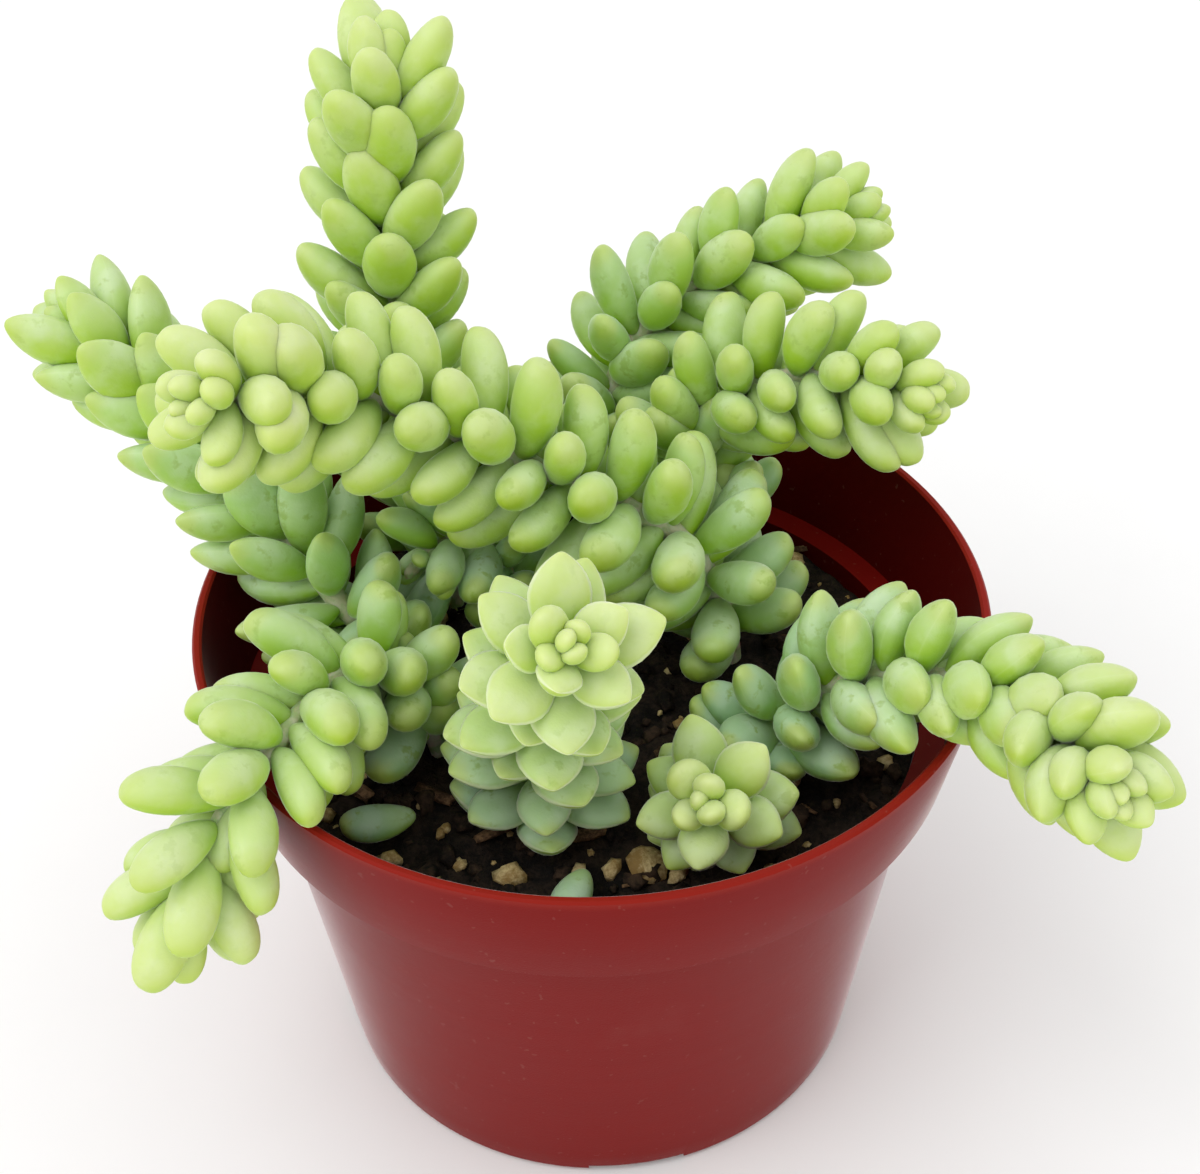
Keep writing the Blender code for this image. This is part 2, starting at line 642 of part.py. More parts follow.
def add_stem(name, line, leaves, leaf_meshes, home):
    """One leafy stem: a stalk with its leaves fused to it."""
    stalk = add_stalk(name, line, home)
    foliage = collection(name + "_leaves")
    for number, leaf in enumerate(leaves):
        if leaf and number % THINNING != THINNING - 1:
            piece = bpy.data.objects.new("leaf", leaf_meshes[leaf.kind])
            piece.matrix_world = leaf.matrix()
            foliage.objects.link(piece)
    fuse(stalk, foliage)
    return stalk


def add_fallen_leaf(name, leaf, leaf_meshes, home):
    """A dropped leaf as a piece of its own."""
    made = bpy.data.objects.new(name, leaf_meshes[leaf.kind].copy())
    made.matrix_world = leaf.matrix()
    home.objects.link(made)
    return made


def main():
    remove_everything()
    home = collection("potted_burros_tail")
    cutters = collection("cutters")
    pot = add_pot(home, cutters)
    pot.data.materials.append(material("pot_plastic", COLOURS["pot"], ROUGHNESS["pot"]))
    pot.data.shade_smooth()
    pot.data.set_sharp_from_angle(angle=SHARP_ANGLE)
    soil = add_soil(home, cutters)
    soil.data.materials.append(material("potting_soil", COLOURS["soil"], ROUGHNESS["soil"]))
    lines, leaves, dropped = lay_out()
    leaf_meshes = {kind: unit_leaf(kind) for kind in LEAF_KINDS}
    for number, name in enumerate(STEMS):
        stem = add_stem(name, lines[name], leaves[name], leaf_meshes, home)
        share = number / (len(STEMS) - 1)
        colour = [a + (b - a) * share for a, b in zip(COLOURS["young"], COLOURS["old"])]
        stem.data.materials.append(material(name + "_green", colour, ROUGHNESS["leaf"]))
    for name, leaf in dropped.items():
        fallen = add_fallen_leaf(name, leaf, leaf_meshes, home)
        green = material(name + "_green", COLOURS["old"], ROUGHNESS["leaf"])
        fallen.data.materials.append(green)


main()
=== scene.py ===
# %% [markdown]
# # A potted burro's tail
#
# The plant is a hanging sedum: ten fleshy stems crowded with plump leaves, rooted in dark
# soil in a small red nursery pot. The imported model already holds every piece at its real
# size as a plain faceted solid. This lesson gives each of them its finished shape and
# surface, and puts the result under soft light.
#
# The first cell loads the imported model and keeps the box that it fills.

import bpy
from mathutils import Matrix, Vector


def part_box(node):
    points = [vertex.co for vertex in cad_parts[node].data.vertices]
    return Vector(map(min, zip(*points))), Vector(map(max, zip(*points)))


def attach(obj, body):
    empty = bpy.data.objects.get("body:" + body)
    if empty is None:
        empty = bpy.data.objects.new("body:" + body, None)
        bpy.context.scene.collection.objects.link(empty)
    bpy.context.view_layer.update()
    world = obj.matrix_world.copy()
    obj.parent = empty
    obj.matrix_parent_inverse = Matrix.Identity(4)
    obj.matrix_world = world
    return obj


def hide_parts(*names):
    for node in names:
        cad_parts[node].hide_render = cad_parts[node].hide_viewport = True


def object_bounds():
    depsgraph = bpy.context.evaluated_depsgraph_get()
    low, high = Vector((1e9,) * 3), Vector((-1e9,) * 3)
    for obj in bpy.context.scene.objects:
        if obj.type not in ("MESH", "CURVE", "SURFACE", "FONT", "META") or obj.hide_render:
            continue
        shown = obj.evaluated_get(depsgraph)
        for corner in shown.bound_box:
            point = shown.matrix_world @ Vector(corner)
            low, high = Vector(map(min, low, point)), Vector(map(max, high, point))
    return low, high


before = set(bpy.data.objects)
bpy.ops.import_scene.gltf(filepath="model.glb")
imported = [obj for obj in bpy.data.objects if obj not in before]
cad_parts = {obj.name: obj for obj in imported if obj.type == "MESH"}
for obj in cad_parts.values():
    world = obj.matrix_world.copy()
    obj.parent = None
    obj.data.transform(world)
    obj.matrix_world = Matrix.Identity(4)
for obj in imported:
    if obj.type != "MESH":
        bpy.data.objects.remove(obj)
cad_box = [list(corner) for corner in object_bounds()]

import math
import random

import bpy
import numpy as np
from mathutils import Matrix, Vector

print("nodes:", sorted(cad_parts))
print("box in mm:", [[round(1000.0 * value, 1) for value in corner] for corner in cad_box])

# %% [markdown]
# ## The camera
#
# The plant is seen from in front and well above, from about 27 cm away, so near leaves look
# clearly larger than far ones. A camera can be aimed with a Track To constraint, or turned
# by two angles. Two angles are used here, because a hand-held camera also leans a little to
# one side, and the lean is then one more number.

# %% Camera
CAMERA_PLACE = (0.0012, -0.2043, 0.2530)
LOOKS_DOWN = math.radians(40.5)
LEAN = math.radians(1.2)
LENS = 59.4                  # millimetres, as is the width of the film
FILM_WIDTH = 36.0


def add_camera():
    """A camera that looks along +Y, down by one angle and leaning by another."""
    bpy.ops.object.camera_add(location=CAMERA_PLACE)
    camera = bpy.context.active_object
    camera.name = "camera"
    tilt = Matrix.Rotation(math.radians(90.0) - LOOKS_DOWN, 4, "X")
    lean = Matrix.Rotation(-LEAN, 4, "Z")
    camera.matrix_world = Matrix.Translation(CAMERA_PLACE) @ tilt @ lean
    camera.data.lens = LENS
    camera.data.sensor_width = FILM_WIDTH
    camera.data.clip_start = 0.01
    camera.data.dof.use_dof = False
    bpy.context.scene.camera = camera


add_camera()
print("camera lens:", LENS, "mm")

# %% [markdown]
# ## Working on one piece at a time
#
# Blender's operators act on everything that is selected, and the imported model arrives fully
# selected. So each step starts by selecting nothing, and then picks one piece, or the
# corners of it that lie in some place. These few helpers say that in one line each.

# %% Selecting
def select_only(*pieces):
    """Select these pieces and nothing else, and make the first one active."""
    bpy.ops.object.select_all(action="DESELECT")
    for piece in pieces:
        piece.select_set(True)
    if pieces:
        bpy.context.view_layer.objects.active = pieces[0]


def pick(piece, wanted):
    """In edit mode, select the corners whose place passes a test."""
    bpy.ops.mesh.select_mode(type="VERT")
    bpy.ops.mesh.select_all(action="DESELECT")
    bpy.ops.object.mode_set(mode="OBJECT")
    for corner in piece.data.vertices:
        corner.select = wanted(corner.co)
    bpy.ops.object.mode_set(mode="EDIT")


def apply_all(piece):
    """Apply a piece's modifiers in their order."""
    select_only(piece)
    for step in list(piece.modifiers):
        bpy.ops.object.modifier_apply(modifier=step.name)


def finished(piece, name, *finishes):
    """Name a piece and give it its materials; its place stays in its mesh."""
    select_only(piece)
    bpy.ops.object.transform_apply(location=True, rotation=True, scale=True)
    piece.name = name
    piece.data.name = name
    piece.data.materials.clear()
    for finish in finishes:
        piece.data.materials.append(finish)
    return piece


def triangles(piece):
    """Number of triangles in a piece as it is shown."""
    seen = piece.evaluated_get(bpy.context.evaluated_depsgraph_get()).to_mesh()
    return sum(len(face.vertices) - 2 for face in seen.polygons)


select_only()
print("selected:", len(bpy.context.selected_objects))

# %% [markdown]
# ## Writing a material as arithmetic
#
# A procedural material is a web of small nodes. Wiring dozens of Math nodes by hand hides
# the idea, so the class Varying stands for a number that changes over a surface, and plain
# Python arithmetic on it adds the Math nodes. Finish holds one material, and its add method
# makes any other kind of node from its settings and its sockets.

# %% Numbers that vary over a surface
class Varying:
    """A socket that changes over the surface; arithmetic on it adds Math nodes."""

    def __init__(self, finish, socket):
        self.finish = finish
        self.socket = socket

    def math(self, operation, *values):
        return self.finish.add("ShaderNodeMath", {"operation": operation}, dict(enumerate(values)))

    def __add__(self, other):
        return self.math("ADD", self, other)

    def __sub__(self, other):
        return self.math("SUBTRACT", self, other)

    def __rsub__(self, other):
        return self.math("SUBTRACT", other, self)

    def __mul__(self, other):
        return self.math("MULTIPLY", self, other)

    __radd__ = __add__
    __rmul__ = __mul__


print("arithmetic on a surface's numbers is ready")

# %% A finish
class Finish:
    """One material, built around its Principled BSDF."""

    def __init__(self, name, **constants):
        self.material = bpy.data.materials.new(name)
        self.material.use_nodes = True
        self.tree = self.material.node_tree
        self.shader = self.tree.nodes["Principled BSDF"]
        for socket, value in constants.items():
            self.shader.inputs[socket.replace("_", " ")].default_value = value

    def add(self, kind, settings=None, sockets=None, output=0):
        """Add a node: its settings first, then the values or links of its sockets."""
        node = self.tree.nodes.new(kind)
        for name, value in (settings or {}).items():
            setattr(node, name, value)
        for name, value in (sockets or {}).items():
            if isinstance(value, Varying):
                self.tree.links.new(value.socket, node.inputs[name])
            else:
                node.inputs[name].default_value = value
        return Varying(self, node.outputs[output])

    def feed(self, socket, value):
        """Link a varying value to the shader."""
        self.tree.links.new(value.socket, self.shader.inputs[socket])

    def place(self, scale=(1.0, 1.0, 1.0)):
        """Object coordinates, which are metres here, times a scale."""
        where = self.add("ShaderNodeTexCoord", output="Object")
        return self.add("ShaderNodeMapping", {}, {"Vector": where, "Scale": scale})

    def noise(self, where, scale, detail=3.0, roughness=0.5):
        """Cloudy noise from 0 to 1, with so many waves to a metre."""
        return self.add("ShaderNodeTexNoise", {"normalize": True},
                        {"Vector": where, "Scale": scale, "Detail": detail, "Roughness": roughness})

    def step(self, value, low, high):
        """0 below low, 1 above high, and a smooth rise between them."""
        return self.add("ShaderNodeMapRange", {"interpolation_type": "SMOOTHSTEP"},
                        {"Value": value, "From Min": low, "From Max": high})

    def blend(self, share, first, second, mode="MIX"):
        """Mix two colours, each of them fixed or varying."""
        fixed = [value if isinstance(value, Varying) else (*value, 1.0) for value in (first, second)]
        return self.add("ShaderNodeMix", {"data_type": "RGBA", "blend_type": mode},
                        {0: share, 6: fixed[0], 7: fixed[1]}, output=2)

    def bump(self, height, depth):
        """Feed the shader's normal from a height between 0 and 1 that stands for so many metres."""
        normal = self.add("ShaderNodeBump", {}, {"Strength": 1.0, "Distance": depth, "Height": height})
        self.feed("Normal", normal)

    def attribute(self, name):
        """A number stored on the corners of the mesh."""
        return self.add("ShaderNodeAttribute", {"attribute_name": name}, output="Fac")


print("material tools are ready")

# %% [markdown]
# ## The pot's section
#
# The pot is injection moulded: a thin tapering wall, a deep band under the lip that stacks
# on the next pot, and a ring to stand on. Anything turned on a lathe can be made by a Screw
# modifier or by the spin operator. Here one point is extruded along the half section, as a
# potter's template is drawn, and spun once round Z. The radius and height of the lip come
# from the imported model; the wall and the steps in it are measured in metres.

# %% Section of the pot
POT_RADIUS = round(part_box("pot")[1][0], 5)
POT_HEIGHT = round(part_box("pot")[1][2], 5)
POT_WALL = 0.0013
LIP_ROUND = 0.25             # rounding of the lip, of the wall
BAND_FOOT_RADIUS = 0.0506    # lower edge of the deep band under the lip
BAND_FOOT_HEIGHT = 0.0585
NECK_RADIUS = 0.0470         # wall just under the band
BASE_RADIUS = 0.0396
BASE_ROUND = 0.0010          # rounding where the wall meets the foot
FOOT_WIDTH = 0.0044          # width of the ring that the pot stands on
FLOOR_RISE = 0.0018          # underside of the floor above the table
FLOOR_THICKNESS = 0.0015
PAD_RADIUS = 0.0090          # flat pad in the middle of the underside
GUARD_HEIGHT = 0.0045        # extra ring of edges, which keeps the cuts in the foot off the wall


def wall_radius(height):
    """Outer radius of the tapering wall below the band."""
    return BASE_RADIUS + (NECK_RADIUS - BASE_RADIUS) * height / BAND_FOOT_HEIGHT


def band_radius(height):
    """Outer radius of the band, which flares up to the lip."""
    share = (height - BAND_FOOT_HEIGHT) / (POT_HEIGHT - BAND_FOOT_HEIGHT)
    return BAND_FOOT_RADIUS + (POT_RADIUS - BAND_FOOT_RADIUS) * share


def pot_profile():
    """Half section of the pot as (radius, height), from the floor inside to the pad below."""
    floor = FLOOR_RISE + FLOOR_THICKNESS
    ledge = BAND_FOOT_HEIGHT + POT_WALL
    lip = LIP_ROUND * POT_WALL
    inner_lip = POT_RADIUS - POT_WALL
    foot = BASE_RADIUS - BASE_ROUND
    return (
        (0.0, floor),
        (wall_radius(floor) - POT_WALL, floor),
        (wall_radius(ledge) - POT_WALL, ledge),
        (band_radius(ledge) - POT_WALL, ledge),
        (inner_lip, POT_HEIGHT - lip),
        (inner_lip + lip, POT_HEIGHT),
        (POT_RADIUS - lip, POT_HEIGHT),
        (POT_RADIUS, POT_HEIGHT - lip),
        (BAND_FOOT_RADIUS, BAND_FOOT_HEIGHT + lip),
        (BAND_FOOT_RADIUS - lip, BAND_FOOT_HEIGHT),
        (NECK_RADIUS, BAND_FOOT_HEIGHT),
        (wall_radius(GUARD_HEIGHT), GUARD_HEIGHT),
        (wall_radius(BASE_ROUND), BASE_ROUND),
        (foot, 0.0),
        (foot - FOOT_WIDTH, 0.0),
        (foot - FOOT_WIDTH, FLOOR_RISE),
        (PAD_RADIUS, FLOOR_RISE),
        (PAD_RADIUS, 0.0),
        (0.0, 0.0),
    )


print("pot:", 2000.0 * POT_RADIUS, "mm across and", 1000.0 * POT_HEIGHT, "mm high")

# %% Turning the pot
POT_SIDES = 160


def turned_shell(section, sides):
    """Draw a half section by extruding a point, and spin it about Z."""
    select_only()
    bpy.ops.mesh.primitive_plane_add(size=POT_WALL)
    shell = bpy.context.active_object
    bpy.ops.object.mode_set(mode="EDIT")
    bpy.ops.mesh.merge(type="CENTER")
    bpy.ops.transform.translate(value=(section[0][0], 0.0, section[0][1]))
    for (radius, height), (next_radius, next_height) in zip(section, section[1:]):
        step = (next_radius - radius, 0.0, next_height - height)
        bpy.ops.mesh.extrude_region_move(TRANSFORM_OT_translate={"value": step})
    bpy.ops.mesh.select_all(action="SELECT")
    bpy.ops.mesh.spin(steps=sides, angle=math.tau, center=(0.0, 0.0, 0.0), axis=(0.0, 0.0, 1.0))
    bpy.ops.mesh.select_all(action="SELECT")
    bpy.ops.mesh.remove_doubles(threshold=0.00001)
    bpy.ops.mesh.normals_make_consistent(inside=False)
    bpy.ops.object.mode_set(mode="OBJECT")
    return shell


pot = turned_shell(pot_profile(), POT_SIDES)
print("pot:", len(pot.data.vertices), "corners")

# %% [markdown]
# ## Gaps and holes
#
# Water leaves through round holes in the floor and through four shallow gaps in the foot.
# They could be modelled into the mesh face by face. A Boolean cuts them all at once from
# simple cutters, and a narrow Bevel then rounds every sharp edge, as a mould does.

# %% Drainage
NOTCH_COUNT = 4
NOTCH_WIDTH = 0.0140
NOTCH_RISE = 0.94            # height of a gap, of the height of the floor above the table
NOTCH_FIRST_ANGLE = math.radians(-83.0)
DRAIN_COUNT = 4
DRAIN_RADIUS = 0.0035
DRAIN_CIRCLE = 0.0240
DRAIN_SIDES = 32
MOULD_ROUNDING = 0.00028
ROUNDED_ANGLE = math.radians(28.0)   # edges sharper than this are rounded
SHARP_ANGLE = math.radians(40.0)     # edges sharper than this stay crisp


def drainage_cutters():
    """Boxes for the gaps in the foot and cylinders for the holes, joined in one piece."""
    cutters = []
    for number in range(NOTCH_COUNT):
        angle = NOTCH_FIRST_ANGLE + number * math.tau / NOTCH_COUNT
        place = (BASE_RADIUS * math.cos(angle), BASE_RADIUS * math.sin(angle), 0.0)
        size = (3.0 * FOOT_WIDTH, NOTCH_WIDTH, 2.0 * NOTCH_RISE * FLOOR_RISE)
        bpy.ops.mesh.primitive_cube_add(size=1.0, location=place, rotation=(0.0, 0.0, angle),
                                        scale=size)
        cutters.append(bpy.context.active_object)
    for number in range(DRAIN_COUNT):
        angle = NOTCH_FIRST_ANGLE + (number + 0.5) * math.tau / DRAIN_COUNT
        place = (DRAIN_CIRCLE * math.cos(angle), DRAIN_CIRCLE * math.sin(angle),
                 FLOOR_RISE + FLOOR_THICKNESS / 2.0)
        bpy.ops.mesh.primitive_cylinder_add(vertices=DRAIN_SIDES, radius=DRAIN_RADIUS,
                                            depth=3.0 * FLOOR_THICKNESS, location=place)
        cutters.append(bpy.context.active_object)
    select_only(*cutters)
    bpy.ops.object.join()
    return bpy.context.active_object


cutters = drainage_cutters()
drain = pot.modifiers.new("drain", "BOOLEAN")
drain.operation = "DIFFERENCE"
drain.solver = "EXACT"
drain.object = cutters
apply_all(pot)
bpy.data.objects.remove(cutters, do_unlink=True)

rounding = pot.modifiers.new("rounding", "BEVEL")
rounding.width = MOULD_ROUNDING
rounding.segments = 3
rounding.limit_method = "ANGLE"
rounding.angle_limit = ROUNDED_ANGLE
rounding.use_clamp_overlap = True
apply_all(pot)
bpy.ops.object.shade_smooth_by_angle(angle=SHARP_ANGLE)
print("pot with its gaps:", triangles(pot), "triangles")

# %% [markdown]
# ## Moulded plastic
#
# The plastic is a deep brick red with a satin skin. It could be one flat colour, but real
# moulded plastic is never even: faint flow marks run round the wall, the lip is rubbed
# lighter, dust and water stains dull the gloss in patches, and the skin has a very fine
# grain. All of these are noise at different sizes, read from the place in the pot. The
# inside, which is where a face looks towards the pot's axis, is painted darker as shade.

# %% Finish of the pot
PLASTIC = (0.225, 0.0065, 0.0045)
PLASTIC_LIGHT = (0.265, 0.016, 0.009)
PLASTIC_DARK = (0.168, 0.0040, 0.0028)
# painted shade for the inside of the pot
PLASTIC_PAINTED_SHADE = (0.070, 0.0020, 0.0016)
DUST = (0.42, 0.30, 0.26)


def pot_finish():
    """Brick-red satin plastic with flow marks, a rubbed lip, dull patches, fine grain and painted shade
    inside.
    """
    finish = Finish("moulded_plastic", IOR=1.5, Specular_IOR_Level=0.06, Sheen_Weight=1.0,
                    Sheen_Roughness=0.17, Sheen_Tint=(1.0, 0.90, 0.92, 1.0))
    where = finish.place()
    high = finish.add("ShaderNodeSeparateXYZ", {}, {"Vector": where}, output="Z")
    bands = finish.noise(finish.place((20.0, 20.0, 420.0)), 1.0, detail=2.0)
    patches = finish.noise(where, 38.0, detail=4.0, roughness=0.6)
    grain = finish.noise(where, 4200.0, detail=2.0)
    specks = finish.step(finish.noise(where, 900.0, detail=1.0), 0.71, 0.76)
    rubbed = finish.step(high, POT_HEIGHT - 0.0020, POT_HEIGHT - 0.0002)
    colour = finish.blend(bands * 0.25 + patches * 0.45, PLASTIC_DARK, PLASTIC)
    colour = finish.blend(rubbed * 0.75, colour, PLASTIC_LIGHT)
    # painted shade: faces that look towards the pot's axis, inside it, are darkened
    facing = finish.add("ShaderNodeTexCoord", output="Normal")
    outward = finish.add("ShaderNodeVectorMath", {"operation": "DOT_PRODUCT"},
                         {0: facing, 1: where}, output="Value")
    inside = finish.step(outward * -1.0, -0.010, 0.030)
    colour = finish.blend(inside, colour, PLASTIC_PAINTED_SHADE)
    colour = finish.blend(specks * 0.08 + finish.step(patches, 0.60, 0.80) * 0.05, colour, DUST)
    finish.feed("Base Color", colour)
    finish.feed("Roughness", patches * 0.16 + grain * 0.06 + 0.27)
    finish.bump(grain * 0.6 + bands * 0.4, 0.00003)
    return finish.material


plastic = pot_finish()
finished(pot, "pot_moulded", plastic)
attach(pot, "root")
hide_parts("pot")
print("pot is finished")

# %% [markdown]
# ## The soil
#
# Potting soil is a heap of crumbs of every size. One way is thousands of separate crumbs; a
# mesh that fine is heavy. Instead the body of the soil is one piece, extruded up from the
# pot's floor and inset ring by ring, whose top is pushed up and down by three noise textures
# of different sizes. Only the largest bits are made as separate lumps, in the next step.

# %% Body of the soil
GAP = 0.0003                 # air kept between neighbouring pieces
SOIL_HEIGHT = 0.0570         # soil at the wall
SOIL_MOUND = 0.0012          # how much higher it is in the middle
SOIL_RELIEF = 0.0004
SOIL_WAVES = (410.0, 370.0, 760.0)   # radians a metre, of the waves that make the relief
FINE_WAVE = 0.6              # height of the last wave, of the others
SOIL_SIDES = 256
SOIL_RINGS = 74
CALM_EDGE = 0.985            # past this share of its radius, the soil is pushed less
CALM_SHARE = 0.35
SOIL_NOISES = (("clods", "CLOUDS", 0.0052, 0.0016), ("crumbs", "VORONOI", 0.0021, 0.0013),
               ("grains", "CLOUDS", 0.0009, 0.0008))


def soil_height(x, y):
    """Height of the soil's loose surface."""
    reach = min(1.0, math.hypot(x, y) / (NECK_RADIUS - POT_WALL))
    swell = SOIL_MOUND * (1.0 - reach * reach)
    first, second, last = SOIL_WAVES
    relief = math.sin(first * x) * math.cos(second * y) + FINE_WAVE * math.sin(last * (x - y))
    return SOIL_HEIGHT + swell + SOIL_RELIEF * relief


def soil_plug():
    """A plug that fills the pot up to the soil's height, with a finely divided top."""
    floor = FLOOR_RISE + FLOOR_THICKNESS + GAP
    bottom = wall_radius(floor) - POT_WALL - GAP
    brim = wall_radius(SOIL_HEIGHT) - POT_WALL - 0.3 * GAP
    select_only()
    bpy.ops.mesh.primitive_circle_add(vertices=SOIL_SIDES, radius=bottom, fill_type="NGON")
    plug = bpy.context.active_object
    bpy.ops.object.mode_set(mode="EDIT")
    bpy.ops.transform.translate(value=(0.0, 0.0, floor))
    rise = (0.0, 0.0, SOIL_HEIGHT - floor)
    bpy.ops.mesh.extrude_region_move(TRANSFORM_OT_translate={"value": rise})
    bpy.ops.transform.resize(value=(brim / bottom, brim / bottom, 1.0),
                             center_override=(0.0, 0.0, SOIL_HEIGHT))
    for ring in range(SOIL_RINGS):
        bpy.ops.mesh.inset(thickness=brim / (SOIL_RINGS + 0.5))
    bpy.ops.mesh.poke()
    bpy.ops.mesh.select_all(action="SELECT")
    bpy.ops.mesh.normals_make_consistent(inside=False)
    bpy.ops.object.mode_set(mode="OBJECT")
    return plug


soil = soil_plug()
top = soil.vertex_groups.new(name="top")
for corner in soil.data.vertices:
    if corner.co.z > SOIL_HEIGHT - GAP:
        corner.co.z = soil_height(corner.co.x, corner.co.y)
        edge = math.hypot(corner.co.x, corner.co.y) / (wall_radius(SOIL_HEIGHT) - POT_WALL)
        top.add([corner.index], 1.0 if edge < CALM_EDGE else CALM_SHARE, "REPLACE")
for name, kind, size, depth in SOIL_NOISES:
    texture = bpy.data.textures.new(name, kind)
    texture.noise_scale = size
    push = soil.modifiers.new(name, "DISPLACE")
    push.texture = texture
    push.texture_coords = "LOCAL"
    push.direction = "Z"
    push.mid_level = 0.5
    push.strength = depth
    push.vertex_group = "top"
apply_all(soil)
print("soil:", triangles(soil), "triangles, top at",
      round(1000.0 * max(corner.co.z for corner in soil.data.vertices), 1), "mm")

# %% [markdown]
# ## Crumbs, grit and bark
#
# On the surface lie clods, pale grit and slivers of bark. Each kind is modelled once from a
# primitive that is roughened at random, and then copied with a new place, turn and size.
# The copies of a kind are joined, because hundreds of separate pieces would be slow to
# handle. The random draws start from a fixed seed, so the soil is the same every time.

# %% Loose bits
SOIL_SEED = 5
CRUMBS = 420
GRITS = 110
BARKS = 34
LOOSE_RISE = 0.45            # how far a bit stands out of the soil, of its half height
LOOSE_REACH = NECK_RADIUS - POT_WALL - 0.0018
LOOSE_TIP = 0.45             # how far a bit is tipped over, in radians
LOOSE_WIDTH = (0.65, 1.0)    # width of a bit, of its length
SMALL_BITS = 2.5             # above one, there are more small bits than large ones
BIG_STONES = ((-0.0215, -0.0352, 0.0024), (0.0066, -0.0322, 0.0027), (-0.0112, -0.0335, 0.0022),
              (0.0105, -0.0335, 0.0017), (0.0395, 0.0150, 0.0018), (0.0310, 0.0290, 0.0020),
              (-0.0270, -0.0300, 0.0017), (-0.0090, -0.0400, 0.0015), (0.0020, -0.0330, 0.0018))


def rough_lump(name, roughness, seed):
    """A lump of unit radius: a ball of triangles with its corners moved at random."""
    select_only()
    bpy.ops.mesh.primitive_ico_sphere_add(subdivisions=2, radius=1.0)
    lump = bpy.context.active_object
    lump.name = name
    bpy.ops.object.mode_set(mode="EDIT")
    bpy.ops.transform.vertex_random(offset=roughness, uniform=0.6, normal=0.4, seed=seed)
    bpy.ops.object.mode_set(mode="OBJECT")
    return lump


def sliver(name, seed):
    """A splinter of unit half length: a divided box with its corners moved at random."""
    select_only()
    bpy.ops.mesh.primitive_cube_add(size=2.0)
    chip = bpy.context.active_object
    chip.name = name
    bpy.ops.object.mode_set(mode="EDIT")
    bpy.ops.mesh.subdivide(number_cuts=2)
    bpy.ops.transform.resize(value=(1.0, 0.28, 0.12))
    bpy.ops.transform.vertex_random(offset=0.09, uniform=0.8, normal=0.2, seed=seed)
    bpy.ops.object.mode_set(mode="OBJECT")
    return chip


print("a bit of the soil is", LOOSE_RISE, "of its half height above it")

# %% Scattering
def scattered(shapes, places, draw, flatness):
    """Copies of the shapes at places (x, y, radius), each turned and stretched at random."""
    copies = []
    for x, y, radius in places:
        copy = draw.choice(shapes).copy()
        copy.data = copy.data.copy()
        turn = Matrix.Rotation(draw.uniform(0.0, math.tau), 4, "Z")
        tip = Matrix.Rotation(draw.uniform(-LOOSE_TIP, LOOSE_TIP), 4, "X")
        width = radius * draw.uniform(*LOOSE_WIDTH)
        size = (radius, width, radius * draw.uniform(*flatness), 1.0)
        sunk = soil_height(x, y) + LOOSE_RISE * size[2]
        place = Matrix.Translation((x, y, sunk)) @ turn @ tip @ Matrix.Diagonal(size)
        copy.data.transform(place)
        bpy.context.collection.objects.link(copy)
        copies.append(copy)
    select_only(*copies)
    bpy.ops.object.join()
    for shape in shapes:
        bpy.data.objects.remove(shape, do_unlink=True)
    return bpy.context.active_object


def random_places(draw, count, smallest, largest):
    """Places (x, y, radius) on the soil, with many small bits and few large ones."""
    for number in range(count):
        distance = LOOSE_REACH * math.sqrt(draw.random())
        angle = draw.uniform(0.0, math.tau)
        radius = smallest + (largest - smallest) * draw.random() ** SMALL_BITS
        yield distance * math.cos(angle), distance * math.sin(angle), radius


print("bits lie within", round(1000.0 * LOOSE_REACH, 1), "mm of the middle")

# %% Crumbs, stones and bark
draw = random.Random(SOIL_SEED)
crumbs = scattered([rough_lump("clod", 0.34, seed) for seed in (1, 2, 3)],
                   random_places(draw, CRUMBS, 0.0005, 0.0019), draw, (0.5, 0.9))
grit_places = list(random_places(draw, GRITS, 0.0004, 0.0017)) + list(BIG_STONES)
stones = scattered([rough_lump("stone", 0.20, seed) for seed in (4, 5, 6)], grit_places, draw,
                   (0.55, 0.85))
bark = scattered([sliver("chip", seed) for seed in (7, 8)],
                 random_places(draw, BARKS, 0.0012, 0.0042), draw, (0.7, 1.0))
for piece in (crumbs, stones, bark):
    print(piece.name, triangles(piece), "triangles")

# %% [markdown]
# ## Finish of the soil
#
# Damp potting soil is nearly black, with browner crumbs where it has dried, tan splinters
# of bark and pale yellow to grey grit. Each kind gets the same recipe with its own colours:
# a dark and a light colour mixed by noise, and small pits in the surface.

# %% Soil materials
def earthy_finish(name, dark, light, size, roughness, pits):
    """A dull natural surface: two colours mixed by noise, with fine pits."""
    finish = Finish(name, Roughness=roughness, Specular_IOR_Level=0.25)
    where = finish.place()
    broad = finish.noise(where, size, detail=4.0, roughness=0.65)
    fine = finish.noise(where, 6.0 * size, detail=3.0, roughness=0.7)
    share = finish.step(broad * 0.6 + fine * 0.4, 0.40, 0.66)
    finish.feed("Base Color", finish.blend(share, dark, light))
    finish.bump(fine, pits)
    return finish.material


soil_look = earthy_finish("damp_soil", (0.0045, 0.0034, 0.0026), (0.040, 0.025, 0.016),
                          220.0, 0.88, 0.0004)
clod_look = earthy_finish("soil_clods", (0.007, 0.0048, 0.0036), (0.075, 0.044, 0.026),
                          160.0, 0.92, 0.0003)
stone_look = earthy_finish("pale_grit", (0.34, 0.21, 0.070), (0.80, 0.64, 0.33),
                           260.0, 0.65, 0.0002)
bark_look = earthy_finish("bark", (0.055, 0.028, 0.014), (0.30, 0.17, 0.085),
                          300.0, 0.80, 0.0002)
for piece, name, look in ((soil, "soil_body", soil_look), (crumbs, "soil_crumbs", clod_look),
                          (stones, "soil_grit", stone_look), (bark, "soil_bark", bark_look)):
    finished(piece, name, look)
    piece.data.shade_smooth()
    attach(piece, "root")
    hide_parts("soil")
    print(name, "is finished")
